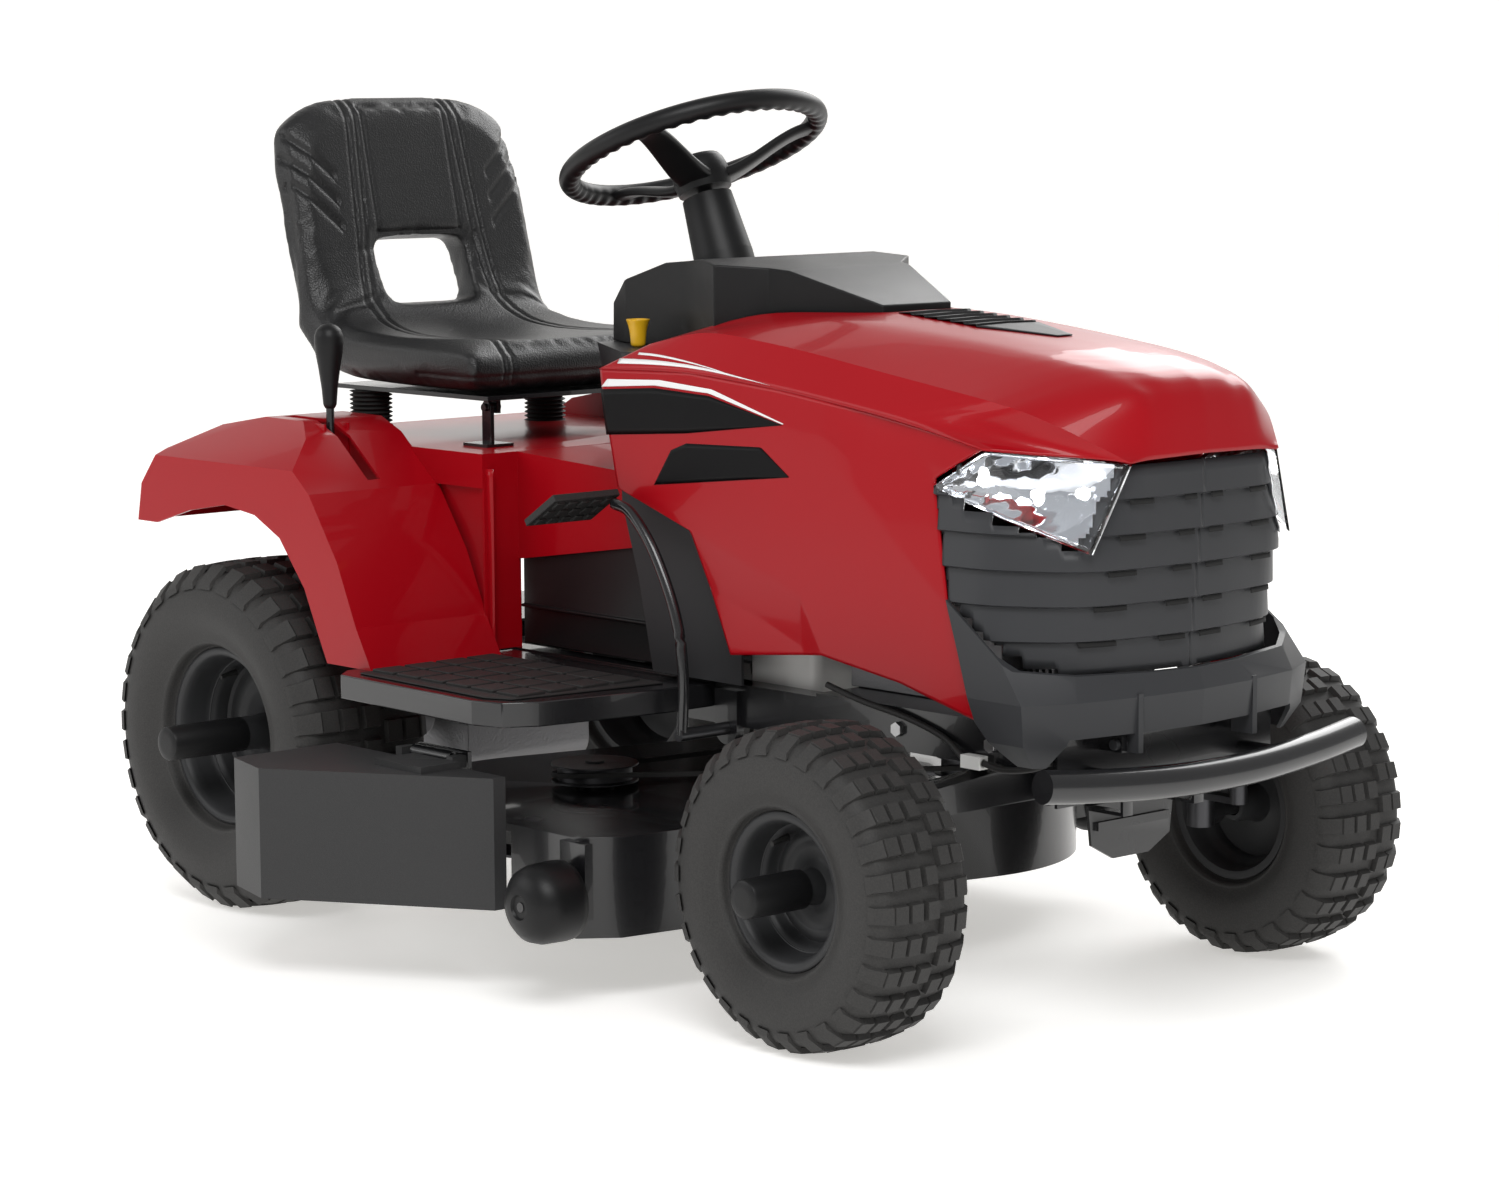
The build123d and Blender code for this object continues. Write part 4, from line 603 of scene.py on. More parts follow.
# %% Bonnet flank
def flank_width(x, z):
    """Half width of the bonnet side at height z: full low down, drawn in above the crease."""
    base = np.interp(x, [536, 700, 1012, 1112, 1188], [231, 232, 231, 230, 228])
    top = np.interp(x, [536, 700, 860, 1012, 1112, 1188], [725, 730, 718, 700, 684, 670])
    pull = np.clip((z - (top - 60)) / 60, 0, 1) ** 2 * 2.5
    ridge = (z - np.interp(x, [965, 1137], [630, 492]))
    fold = np.where(x > 940, np.clip(ridge, 0, 120) * 0.045 * np.clip((x - 940) / 60, 0, 1), 0)
    tuck = np.clip(np.interp(x, [707, 897, 934], [538, 480, 413]) - z, 0, 60) * 0.08 * (x < 936)
    return base - pull - fold - tuck


def flank_grid(rows=72, cols=140):
    """Side skin between the lower edge and the flank line, sheared to the sloped ends."""
    t = np.linspace(0, 1, rows)[:, None]
    u = np.linspace(0, 1, cols)[None, :]
    z_rear, z_front = 396 + t * (725 - 396), 365 + t * (670 - 365)
    x_rear = np.interp(z_rear, [396, 539, 581, 725], [771, 706, 571, 536])
    x_front = np.interp(z_front, [365, 495, 622, 670], [1183, 1137, 1113, 1188])
    x = x_rear + (x_front - x_rear) * u
    low_edge = np.interp(x, [771, 934, 1063, 1183], [396, 413, 395, 365])
    top_edge = np.interp(x, [536, 700, 860, 1012, 1112, 1188], [725, 730, 718, 700, 684, 670])
    straight = z_rear + (z_front - z_rear) * u
    line0 = 396 + (365 - 396) * u
    line1 = 725 + (670 - 725) * u
    z = straight + (low_edge - line0) * (1 - t) ** 2 * (x > 771) + (top_edge - line1) * t ** 3
    return np.stack([x, flank_width(x, z), z], -1)


print("flank grid:", flank_grid().shape)

# %% [markdown]
# Crown and flanks are sheets three millimetres thick. One half of the crown is drawn and the other
# is its mirror in the same grid, so there is no seam down the middle.

# %% Bonnet sheets
crown = blend_rows([FLANK, SHOULDER, CROWN_OUT, CROWN_IN, CROWN_MID], 110, 8)
crown = smooth_across(crown, 5, keep=(8,))
whole_crown = np.concatenate([crown, both_sides(crown)[::-1][1:]])
shell("bonnet_crown", whole_crown, RED, "hood", 3.0, ("hood_shell",), 22, outward=(0, 0, 1))
for side, s in (("right", -1), ("left", 1)):
    shell("bonnet_flank_" + side, flank_grid() * [1, s, 1], RED, "hood", 3.0, (), 12, outward=(0, s, 0))
print("bonnet grid:", whole_crown.shape)


# %% [markdown]
# The side panels carry printed films. Each film is a strip between two curves in side view and
# sits half a millimetre off the bonnet's own width function, so it follows every bend. The upper
# stripes and the top vent lie on the crown, and are found by cutting its rows at each x.

# %% Side films
def film(name, lower, upper, material, s, lift=0.5, cols=60):
    """Strip between two side-view curves, laid on the flank."""
    lower, upper = resample(lower, cols), resample(upper, cols)
    t = np.linspace(0, 1, 8)[:, None, None]
    flat = lower[None] * (1 - t) + upper[None] * t
    y = (flank_width(flat[..., 0], flat[..., 1]) + lift) * s
    grid = np.stack([flat[..., 0], y, flat[..., 1]], -1)
    return shell(name, grid, material, "hood", 0.3, (), 30, outward=(0, s, 0))


for side, s in (("right", -1), ("left", 1)):
    film("panel_film_" + side, [(551, 645), (700, 656), (800, 668), (868, 676)],
         [(540, 700), (640, 707), (740, 703), (868, 676.5)], BLACK_FILM, s)
    film("stripe_a_" + side, [(541, 703), (640, 710), (740, 706), (870, 677)],
         [(552, 713), (650, 717), (745, 711), (871, 678)], WHITE_FILM, s)
    film("louvre_" + side, [(640, 590), (880, 616)], [(672, 634), (700, 644), (832, 648), (880, 617)],
         BLACK_FILM, s)
def over_crown(x, y, lift):
    """Points lift above the bonnet at plan places x, y: rows cut at x, then read across by y."""
    x, y = np.broadcast_arrays(np.asarray(x, float), np.asarray(y, float))
    out = []
    for xs, ys in zip(x.T, y.T):
        cut_y = np.array([np.interp(xs[0], line[:, 0], line[:, 1]) for line in crown])[::-1]
        cut_z = np.array([np.interp(xs[0], line[:, 0], line[:, 2]) for line in crown])[::-1]
        out.append(np.column_stack([xs, ys, np.interp(np.abs(ys), cut_y, cut_z) + lift]))
    return np.array(out).swapaxes(0, 1)


def stripe(name, near, far, x_start, x_end, s):
    """White swoosh on the shoulder: its two edges run forward and meet at a tip."""
    x = np.linspace(x_start, x_end, 50)[None, :]
    t = (x - x_start) / (x_end - x_start)
    tip = 229.0
    edge = np.array([[0.0], [0.5], [1.0]])
    y = (near * (1 - t) + tip * t) * (1 - edge) + (far * (1 - t) + tip * t) * edge
    grid = over_crown(np.repeat(x, 3, 0), y, 0.8) * [1, s, 1]
    shell(name, grid, WHITE_FILM, "hood", 0.2, (), 30, outward=(0, s, 1))


for side, s in (("right", -1), ("left", 1)):
    stripe("stripe_b_" + side, 226.0, 221.5, 566, 845, s)
    stripe("stripe_c_" + side, 218.5, 216.5, 596, 800, s)
vent_x = np.linspace(876, 1006, 78)[None, :]
vent_y = np.linspace(-50, 50, 15)[:, None]
slats = over_crown(np.repeat(vent_x, 15, 0), np.repeat(vent_y, 78, 1), 1.0)
slats[..., 2] += 3.2 * ((vent_x - 876) / 130 * 6 % 1.0)
shell("top_vent_slats", slats, BLACK_PLASTIC, "hood", 1.0, (), 40, outward=(0, 0, 1))
plate_x = np.linspace(1007, 1100, 24)[None, :]
plate_y = np.linspace(-1, 1, 9)[:, None] * (52 - 40 * (plate_x - 1007) / 93)
shell("top_vent_plate", over_crown(np.repeat(plate_x, 9, 0), plate_y, 2.0), DARK_PLASTIC, "hood", 1.5, (), 40,
      outward=(0, 0, 1))
print("films laid on both flanks")

# %% [markdown]
# The grille is moulded in one with its side fins. Its plan is a soft wedge, and five steps in
# its height make the slats. Each slat leans out towards its lower edge, where a row of slots
# sits; the slots are painted shade, black sheets laid on the face.

# %% Grille
NOSE_PLAN = {412: [(1296, 0), (1291, 60), (1269, 165), (1202, 227), (1143, 231)],
             554: [(1312, 0), (1309, 70), (1299, 166), (1202, 225), (1120, 230)],
             655: [(1320, 0), (1319, 60), (1316, 122), (1190, 223), (1114, 229)]}


def nose_curve(z, cols):
    """Plan curve of the nose at height z: lower plan + rise per mm * (z - lower height)."""
    heights = sorted(NOSE_PLAN)
    plans = np.array([resample(soften(NOSE_PLAN[h], 3, 0.22), cols) for h in heights])
    k = int(np.clip(np.searchsorted(heights, z, "right") - 1, 0, len(heights) - 2))
    slope = (plans[k + 1] - plans[k]) / (heights[k + 1] - heights[k])
    return slope * (z - heights[k]) + plans[k]

# %% [markdown]
# Each slat is the nose curve moved along its own normal, a little more at each level down, and
# back again in one step where the next slat starts.

# %% Slatted face
def grille_grid(cols=90):
    """Stepped face: each of the slats grows out by 6 mm from top to bottom, then steps back."""
    levels = []
    edges = np.linspace(652, 414, 7)
    for top, bottom in zip(edges[:-1], edges[1:]):
        for f in (0.0, 0.35, 0.7, 0.93, 1.0):
            levels.append((top + (bottom - top) * f, 6.0 * min(f / 0.93, 1.0) if f < 1.0 else 0.0))
    rows = []
    for z, out in levels:
        curve = nose_curve(z, cols)
        way = np.gradient(curve, axis=0)
        normal = np.stack([way[:, 1], -way[:, 0]], -1)
        normal /= np.linalg.norm(normal, axis=1)[:, None]
        curve = curve + normal * (out - 6.0)
        rows.append(np.column_stack([curve, np.full(cols, z)]))
    return np.array(rows)

# %% [markdown]
# The headlights, the skirt and the bonnet cut into the slatted face. Quads whose middle falls
# outside the moulding are left out of the grid.

# %% Grille moulding
def inside_lamp(x, z):
    """True inside the headlight's outline in side view."""
    upper = np.interp(x, [1112, 1188, 1322], [622, 669, 656])
    lower = np.interp(x, [1112, 1300, 1322], [622, 553, 640])
    return (z < upper) & (z > lower)


def trimmed(name, grid, keep, material, body, hides, outward, thickness=3.0, smooth=35.0):
    """Grid shell without the quads whose centre fails keep."""
    rows, cols = grid.shape[:2]
    quads = grid_faces(rows, cols)
    middle = grid.reshape(-1, 3)[quads].mean(1)
    piece = mesh_piece(name, row(grid), quads[keep(middle)], material, body, hides, smooth)
    bm = bmesh.new()
    bm.from_mesh(piece.data)
    bmesh.ops.delete(bm, geom=[v for v in bm.verts if not v.link_faces], context="VERTS")
    bm.to_mesh(piece.data)
    bm.free()
    normals = np.zeros(len(piece.data.polygons) * 3)
    piece.data.polygons.foreach_get("normal", normals)
    if float((normals.reshape(-1, 3) @ np.asarray(outward, float)).sum()) < 0:
        piece.data.flip_normals()
    wall = piece.modifiers.new("wall", "SOLIDIFY")
    wall.thickness = thickness / 1000.0
    wall.offset = -1.0
    return piece


def above_skirt(x):
    """Height of the skirt's upper edge at x, read between its drawn corners."""
    return np.interp(x, [1142, 1241, 1330], [498, 428, 413])


def in_moulding(p):
    """True where p is outside the lamps, above the skirt and ahead of the cranked rear edge."""
    x, y, z = p.T
    in_lamp = inside_lamp(x, z) & (np.abs(y) > np.interp(z, [553, 656], [170, 122]))
    ahead = x > np.interp(z, [412, 495, 622, 655], [1180, 1140, 1114, 1160])
    return ~in_lamp & (z > above_skirt(x) - 4) & ahead


face = grille_grid()
whole_face = np.concatenate([face, both_sides(face)[:, ::-1]], axis=1)
trimmed("grille_moulded", whole_face, in_moulding, GRILLE_PLASTIC, "hood", ("grille",), (1, 0, 0))
print("grille grid:", whole_face.shape)

# %% [markdown]
# A row of slots sits between one slat and the next, in two runs a side that shorten towards
# the top. Each is a thin near-black sheet on the face, painted shade for the dark inside of an
# opening; no opening is cut.

# %% Slots

for i, z in enumerate((452, 492, 531, 571, 611)):
    curve = nose_curve(z, 90)
    for side, s in (("right", -1), ("left", 1)):
        for part, (a, b) in enumerate(((12, 52 - i * 5), (112 - i * 8, 158 - i * 11))):
            y = np.linspace(a, b, 14)
            x = np.interp(y, curve[:, 1], curve[:, 0]) - 1.2
            grid = np.array([np.column_stack([x + 0.9, y * s, np.full(14, z - 3.0)]),
                             np.column_stack([x + 0.3, y * s, np.full(14, z + 3.0)])])
            # Each slot sheet is painted shade laid on the face, not a cut opening.
            shell("slot_%s_%d_%d" % (side, i, part), grid, SLOT_SHADE_BLACK, "hood", 0.4, (), 30, outward=(1, 0, 0))
print("slots laid in")

# %% [markdown]
# Each headlight is a clear cover over a faceted bright bowl with three small sources. The cover
# is a four-cornered sheet between the lamp's upper and lower edges, bowed a little outwards.

# %% Headlights
def lamp_sheet(s, sink, bow, cols=28, rows=16):
    """Sheet between the lamp's lower and upper edges, sunk into the nose by sink."""
    lower = resample([(1116, 229, 622), (1210, 207, 589), (1299, 167, 556)], cols)
    upper = resample([(1116, 229, 623), (1190, 222, 667), (1316, 123, 654)], cols)
    t = np.linspace(0, 1, rows)[:, None, None]
    grid = lower[None] * (1 - t) + upper[None] * t
    u = np.linspace(0, 1, cols)[None, :]
    swell = np.sin(np.pi * t[..., 0]) * np.sin(np.pi * u)
    normal = np.array([0.55, 0.82, 0.12])
    grid = grid + normal * (bow * swell - sink)[..., None]
    return grid * [1, s, 1]


BULB = soften([(0.01, -4), (5, -4), (6, 0), (4, 4), (0.01, 5)], 1, 0.25)
for side, s in (("right", -1), ("left", 1)):
    shell("lamp_cover_" + side, lamp_sheet(s, 0.5, 3.0), LENS, "hood", 1.5,
          ("headlight_lenses",) if s < 0 else (), 40, outward=(1, s, 0))
    bowl = lamp_sheet(s, 12.0, -26.0)
    ripple_u = np.sin(np.arange(bowl.shape[1]) * 1.9)[None, :]
    ripple_v = np.sin(np.arange(bowl.shape[0]) * 1.5)[:, None]
    facet = ripple_u * ripple_v * 1.2
    bowl = bowl + np.array([0.55, 0.82 * s, 0.1]) * facet[..., None]
    shell("lamp_bowl_" + side, bowl, MIRROR_METAL, "hood", 1.0, ("headlight_reflectors",) if s < 0 else (),
          20, outward=(1, s, 0))
    for k, (u, v) in enumerate(((8, 8), (16, 7), (22, 9))):
        spot = bowl[v, u] + np.array([4.0, 5.0 * s, 1.0])
        lathe("lamp_bulb_%s_%d" % (side, k), BULB, spot, LAMP_GLOW, "hood", segments=16)
print("headlights built")

# %% [markdown]
# The steering wheel has a round rim with finger grips on its inner back side, three flat spokes
# that dip to the hub, and a padded cap. The rim is a ring whose section radius waves where the
# grips are.

# %% Steering wheel
TILT = np.radians(22.5)
WHEEL_AT = np.array([452.0, 0.0, 987.0])
RIM_RADIUS = 162
ACROSS = np.array([np.cos(TILT), 0, np.sin(TILT)])
LEFTWARD = np.array([0.0, 1.0, 0.0])
UPWARD = np.array([-np.sin(TILT), 0, np.cos(TILT)])


def wheel_point(a, b, c):
    """Point a across, b to the left and c up the column from the wheel's centre."""
    return (WHEEL_AT + np.multiply.outer(a, ACROSS) + np.multiply.outer(b, LEFTWARD)
            + np.multiply.outer(c, UPWARD))


turn = np.linspace(0, 2 * np.pi, 288, endpoint=False)[:, None]
around = np.linspace(0, 2 * np.pi, 24, endpoint=False)[None, :]
grips = 0.5 + 0.5 * np.cos(turn * 48)
under = np.clip(np.cos(around - np.radians(235)), 0, 1) ** 2
section = 13.6 - 2.6 * grips * under
out = RIM_RADIUS + section * np.cos(around)
rim = wheel_point(out * np.cos(turn), out * np.sin(turn), section * np.sin(around))
ring = mesh_piece("wheel_rim", row(rim), grid_faces(288, 24, True, True), BLACK_PLASTIC, "steering",
                  ("steering_wheel",), 60)
face_outward(ring)
print("rim points:", len(ring.data.vertices))

# %% [markdown]
# The spokes and the hub cap are made in the wheel's own tilted axes too, so the whole wheel
# turns about its column as one.

# %% Spokes and hub
def spoke(name, angle):
    """Flat bar from hub to rim: width narrows, height rises in an S, edges rounded."""
    t = np.linspace(0, 1, 24)[:, None]
    out = 18 + t * 138
    rise = -44 + 40 * (3 * t ** 2 - 2 * t ** 3)
    half = 25 - 9 * t
    thick = 8 - 2 * t
    a = np.linspace(0, 2 * np.pi, 20, endpoint=False)[None, :]
    w = np.sign(np.cos(a)) * np.abs(np.cos(a)) ** 0.5 * half
    h = np.sign(np.sin(a)) * np.abs(np.sin(a)) ** 0.7 * thick
    x = out * np.cos(angle) - w * np.sin(angle)
    y = out * np.sin(angle) + w * np.cos(angle)
    grid = wheel_point(x, y, rise + h)
    centre_in, centre_out = grid[:1].mean(1, keepdims=True), grid[-1:].mean(1, keepdims=True)
    grid = np.concatenate([np.repeat(centre_in, 20, 1), grid, np.repeat(centre_out, 20, 1)])
    piece = mesh_piece(name, row(grid), grid_faces(26, 20, wrap_cols=True), BLACK_PLASTIC, "steering", (), 50)
    face_outward(piece)


for k, angle in enumerate(np.radians([180, 62, -62])):
    spoke("wheel_spoke_%d" % k, angle)
hub_outline = np.array([(0.01, -11), (20, -11.5), (29, -14), (33, -20), (36, -30), (37, -44), (34, -58),
                        (10, -59), (0.01, -59)])
spin = np.linspace(0, 2 * np.pi, 72, endpoint=False)[:, None]
hub = wheel_point(hub_outline[None, :, 0] * np.cos(spin), hub_outline[None, :, 0] * np.sin(spin),
                  hub_outline[None, :, 1] + 0 * spin)
hub_piece = mesh_piece("wheel_hub", row(hub), grid_faces(72, len(hub_outline), wrap_rows=True), BLACK_PLASTIC,
                       "steering", (), 50)
face_outward(hub_piece)
print("steering wheel built")

# %% [markdown]
# The seat is one padded shell. A rounded outline in side view is carried across the width, its
# sides curl up into bolsters. The closed form is then cut, inflated and grooved, a step at a time.

# %% Seat
def seat_form():
    """Closed form: side outline points moved by how far out they are across the seat."""
    front = np.array([(246, 690), (250, 712), (240, 728), (215, 734), (100, 729), (10, 731), (-58, 745),
                      (-98, 779), (-120, 845), (-146, 955), (-165, 1040), (-180, 1057)])
    back = np.array([(-200, 1056), (-212, 1038), (-200, 960), (-174, 862), (-150, 790), (-128, 738),
                     (-100, 690), (0, 678), (200, 677), (236, 680)])
    outline = soften(np.vstack([front, back]), 2, 0.25, closed=True)
    wide = np.linspace(-1, 1, 41)
    grid = []
    for w in wide:
        edge = np.abs(w)
        pinch = (1 - edge ** 6) ** 0.5 if edge < 1 else 0.0
        squash = 0.35 + 0.65 * pinch
        spine = np.column_stack([np.interp(outline[:, 1], [680, 760, 1060], [60, -124, -190]), outline[:, 1]])
        lift = 16 * edge ** 4
        shaped = outline.copy()
        cushion = outline[:, 1] < 760
        height = outline[cushion, 1]
        shaped[cushion, 1] = 704 + (height - 704) * squash + lift * (height > 705)
        upper = ~cushion
        spine_x = spine[upper, 0]
        shaped[upper, 0] = spine_x + (outline[upper, 0] - spine_x) * squash + 10 * edge ** 4
        behind = upper & (outline[:, 0] < spine[:, 0] + 8) & (outline[:, 1] < 1045)
        shaped[behind, 0] -= 12 * edge ** 4
        shaped[upper, 1] -= np.clip(outline[upper, 1] - 930, 0, None) * 0.30 * edge ** 5
        half = np.interp(shaped[:, 1], [675, 720, 860, 950, 1060], [196, 204, 207, 203, 180])
        grid.append(np.column_stack([shaped[:, 0], half * w, shaped[:, 1]]))
    return np.array(grid)


grid = seat_form()
rows, cols = grid.shape[:2]
ends = [list(range(cols)), list(range((rows - 1) * cols, rows * cols))[::-1]]
faces = grid_faces(rows, cols, wrap_cols=True).tolist() + ends
seat = mesh_piece("seat_cover", row(grid), faces, VINYL, "seat", ("seat_cushion",), 80)
face_outward(seat)
print("seat outline:", rows, "stations of", cols, "points")

# %% [markdown]
# The back has an opening. The form is remeshed into one even solid before a rounded prism cuts
# it, and again afterwards to even out the cut edge.

# %% Back opening
OPENING_HALF_WIDTH, OPENING_HALF_HEIGHT, OPENING_MIDDLE, ROUNDNESS = 79, 46, 812, 0.36
lap = np.linspace(0, 2 * np.pi, 64, endpoint=False)
round_y = OPENING_HALF_WIDTH * np.sign(np.cos(lap)) * np.abs(np.cos(lap)) ** ROUNDNESS
round_z = OPENING_MIDDLE + OPENING_HALF_HEIGHT * np.sign(np.sin(lap)) * np.abs(np.sin(lap)) ** ROUNDNESS
ends = np.array([np.column_stack([np.full(64, x), round_y, round_z]) for x in (-300.0, -30.0)])
opening = bpy.data.meshes.new("opening")
prism = grid_faces(2, 64, wrap_cols=True).tolist() + [list(range(64)), list(range(127, 63, -1))]
opening.from_pydata(row(ends).reshape(-1, 3).tolist(), [], prism)
bm = bmesh.new()
bm.from_mesh(opening)
bmesh.ops.recalc_face_normals(bm, faces=bm.faces)
bm.to_mesh(opening)
bm.free()
cutter = bpy.data.objects.new("opening", opening)
bpy.context.collection.objects.link(cutter)


def apply_all(piece):
    """Bakes the piece's modifiers into its mesh."""
    depsgraph = bpy.context.evaluated_depsgraph_get()
    baked = bpy.data.meshes.new_from_object(piece.evaluated_get(depsgraph))
    piece.modifiers.clear()
    old = piece.data
    piece.data = baked
    bpy.data.meshes.remove(old)


solid = seat.modifiers.new("solid", "REMESH")
solid.mode, solid.voxel_size = "VOXEL", 0.005
apply_all(seat)
cut = seat.modifiers.new("cut", "BOOLEAN")
cut.operation, cut.object, cut.solver = "DIFFERENCE", cutter, "EXACT"
apply_all(seat)
even = seat.modifiers.new("even", "REMESH")
even.mode, even.voxel_size = "VOXEL", 0.006
apply_all(seat)
bpy.data.objects.remove(cutter)
smoothing = seat.modifiers.new("ease", "SMOOTH")
smoothing.factor, smoothing.iterations = 0.5, 4
apply_all(seat)
print("seat points:", len(seat.data.vertices))

# %% [markdown]
# Foam swells its cover. A few frames of cloth pressure give that swell, and each point's move is
# capped, so the seat keeps its size.

# %% Padding
def inflate(piece, frames=14, cap=0.006):
    """Short pressure run as cloth, each point kept within cap of where it began."""
    mesh = piece.data
    start = np.zeros(len(mesh.vertices) * 3)
    mesh.vertices.foreach_get("co", start)
    pad = piece.copy()
    pad.data = mesh.copy()
    pad.parent = None
    bpy.context.collection.objects.link(pad)
    cloth = pad.modifiers.new("pad", "CLOTH")
    cloth.settings.use_pressure = True
    cloth.settings.uniform_pressure_force = 4.0
    cloth.settings.effector_weights.gravity = 0.0
    cloth.settings.quality = 3
    scene = bpy.context.scene
    for f in range(1, frames + 1):
        scene.frame_set(f)
    depsgraph = bpy.context.evaluated_depsgraph_get()
    result = bpy.data.meshes.new_from_object(pad.evaluated_get(depsgraph))
    end = np.zeros(len(result.vertices) * 3)
    result.vertices.foreach_get("co", end)
    move = (end - start).reshape(-1, 3)
    length = np.linalg.norm(move, axis=1)[:, None]
    move *= np.minimum(1.0, cap / np.maximum(length, 1e-9))
    mesh.vertices.foreach_set("co", start + move.ravel())
    bpy.data.objects.remove(pad)
    scene.frame_set(1)


inflate(seat)
finer = seat.modifiers.new("finer", "SUBSURF")
finer.levels = finer.render_levels = 1
apply_all(seat)
print("padded points:", len(seat.data.vertices))

# %% [markdown]
# The sewn grooves and the side ribs are pressed in last, where a remesh can't wash them out.

# %% Sewn grooves
def press_seams(piece):
    """Grooves and ribs: each vertex sinks along its normal by how near it is to a seam line."""
    mesh = piece.data
    count = len(mesh.vertices)
    points, normals = np.zeros(count * 3), np.zeros(count * 3)
    mesh.vertices.foreach_get("co", points)
    mesh.vertices.foreach_get("normal", normals)
    points, normals = points.reshape(-1, 3), normals.reshape(-1, 3)
    local = (points - HOME) * 1000
    x, y, z = local.T
    front_side = normals[:, 0] * 0.9 + normals[:, 2] * 0.6 > 0.25
    groove = lambda d, w: np.exp(-(d / w) ** 2)
    depth = np.zeros(count)
    line = np.interp(z, [680, 760, 860, 1060], [112, 104, 92, 78])
    line = np.where(x > -60, np.interp(x, [-60, 250], [106, 128]), line)
    for offset in (0.0, 15.0):
        depth += 3.2 * groove(np.abs(y) - line - offset, 2.6) * front_side
    depth += 2.4 * groove(np.abs(y) - 70, 2.6) * ((z > 868) & (z < 1040)) * front_side
    for level in (868, 1040):
        depth += 2.4 * groove(z - level, 2.6) * (np.abs(y) < 71) * front_side
    for k in range(3):
        rib = z - (905 + 34 * k) - (np.abs(y) - 160) * 0.9
        depth += 4.5 * groove(rib, 6.5) * ((np.abs(y) > 128) & (z > 840)) * front_side
    depth += 2.0 * groove(z - 695, 2.4) * (x > 120)
    moved = points - normals * (depth / 1000)[:, None]
    mesh.vertices.foreach_set("co", moved.ravel())
    mesh.update()


press_seams(seat)
seat.data.materials.clear()
seat.data.materials.append(VINYL)
seat.data.polygons.foreach_set("use_smooth", [True] * len(seat.data.polygons))
print("seat faces:", len(seat.data.polygons))

# %% [markdown]
# The black bellows over the seat springs are a stack of soft rings, each a bulge in one profile.

# %% Seat bellows
z = np.linspace(604, 662, 61)
bulge = 24 + 5 * np.cos((z - 604) / 58 * 2 * np.pi * 5) ** 2
outline = np.vstack([[(0.01, 604)], np.column_stack([bulge, z]), [(0.01, 662)]])
for side, s in (("right", -1), ("left", 1)):
    lathe("spring_bellows_" + side, outline, np.array([-38.0, s * 150.0, 0.0]), MAT_RUBBER, "chassis",
          ("seat_bellows",) if s < 0 else (), axis="z", segments=40, smooth=60)
print("bellows built")

# %% [markdown]
# Hand levers have a slim steel rod under a pear-shaped plastic knob, one profile spun about the
# lever's own line.

# %% Levers and small controls
def lever(name, node, body, s, lean):
    """Rod and knob: a radius that varies along the lever's line."""
    base = np.array([100.0, s * 318.0, 492.0])
    way = np.array([-np.sin(lean), 0, np.cos(lean)])
    rod_path = base + np.outer(np.linspace(0, 170, 12), way)
    tube(name + "_rod", rod_path, 5.3, BLACK_PAINT, body, (node,))
    t = np.array([164, 168, 172, 190, 215, 235, 248, 258, 266, 271, 273.5])
    r = np.array([6, 8.5, 9, 10.5, 14, 17.5, 18.8, 18.6, 15.5, 10.0, 3.0])
    fine = np.linspace(164, 273.5, 44)
    tube(name + "_knob", base + np.outer(fine, way), np.interp(fine, t, r), BLACK_PLASTIC, body, (), 32)
    pin = base + np.outer(np.linspace(-20, 20, 4), [0, 1, 0])
    tube(name + "_pin", pin, 4.8, STEEL, body, (), 16)


lever("gear", "gear_lever", "gear_hand", -1, 0.0)
lever("height", "height_lever", "height_hand", 1, np.radians(25))
print("hand levers built")

# %% [markdown]
# The blade knob is one turned cup on a stem. The pedal's arm is a bent rod on a cross shaft, and
# its pad is a plate with square studs.

# %% Knob and pedal
KNOB = [(0.01, 716), (8, 716), (8, 718), (3.8, 720), (3.8, 745), (9, 747), (9.5, 752), (10.5, 764),
        (12.5, 773), (15, 779), (14.5, 780), (11, 780), (8, 772), (0.01, 770)]
lathe("blade_knob_cup", soften(KNOB, 1, 0.2), np.array([505.0, -140.0, 0.0]), YELLOW, "knob",
      ("blade_knob",), axis="z", segments=40)
arm = spline_path([(718, -258, 297), (721, -258, 370), (708, -258, 440), (670, -258, 512), (628, -258, 556),
                   (596, -258, 566)], 50)
tube("pedal_arm", arm, 6.9, BLACK_PAINT, "foot_pedal", ("pedal",))
tube("pedal_shaft", np.array([(718, -172, 297), (718, -200, 297), (718, -264, 297)], float), 7.8, DARK_STEEL,
     "foot_pedal")
PAD = Matrix.Rotation(np.radians(-32), 4, "Y")


def plate_with_studs(name, centre, turn, size, studs, material, body):
    """Rounded plate with a grid of square studs on both faces, turned as one mesh."""
    bm = bmesh.new()
    bmesh.ops.create_cube(bm, size=1.0)
    bmesh.ops.scale(bm, vec=Vector((size[0], size[1], size[2] - 5)), verts=bm.verts)
    for i in range(studs[0]):
        for j in range(studs[1]):
            at = Vector(((i + 0.5) / studs[0] - 0.5, (j + 0.5) / studs[1] - 0.5, 0))
            made = bmesh.ops.create_cube(bm, size=1.0)["verts"]
            bmesh.ops.scale(bm, vec=Vector((size[0] / studs[0] * 0.62, size[1] / studs[1] * 0.62, size[2])),
                            verts=made)
            bmesh.ops.translate(bm, vec=Vector((at.x * size[0] * 0.94, at.y * size[1] * 0.94, 0)), verts=made)
    bm.transform(Matrix.Translation(Vector(centre)) @ turn)
    points = np.array([v.co[:] for v in bm.verts])
    faces = [[v.index for v in f.verts] for f in bm.faces]
    bm.free()
    piece = mesh_piece(name, row(points), faces, material, body, (), 30)
    edge = piece.modifiers.new("edge", "BEVEL")
    edge.width, edge.segments = 0.0012, 2
    return piece


plate_with_studs("pedal_pad", (566, -299, 562), PAD, (66, 102, 14), (3, 5), MAT_RUBBER, "foot_pedal")
print("controls built")

# %% [markdown]
# Behind the leg the fender's skin runs inward as a pocket wall, one bowed sheet.

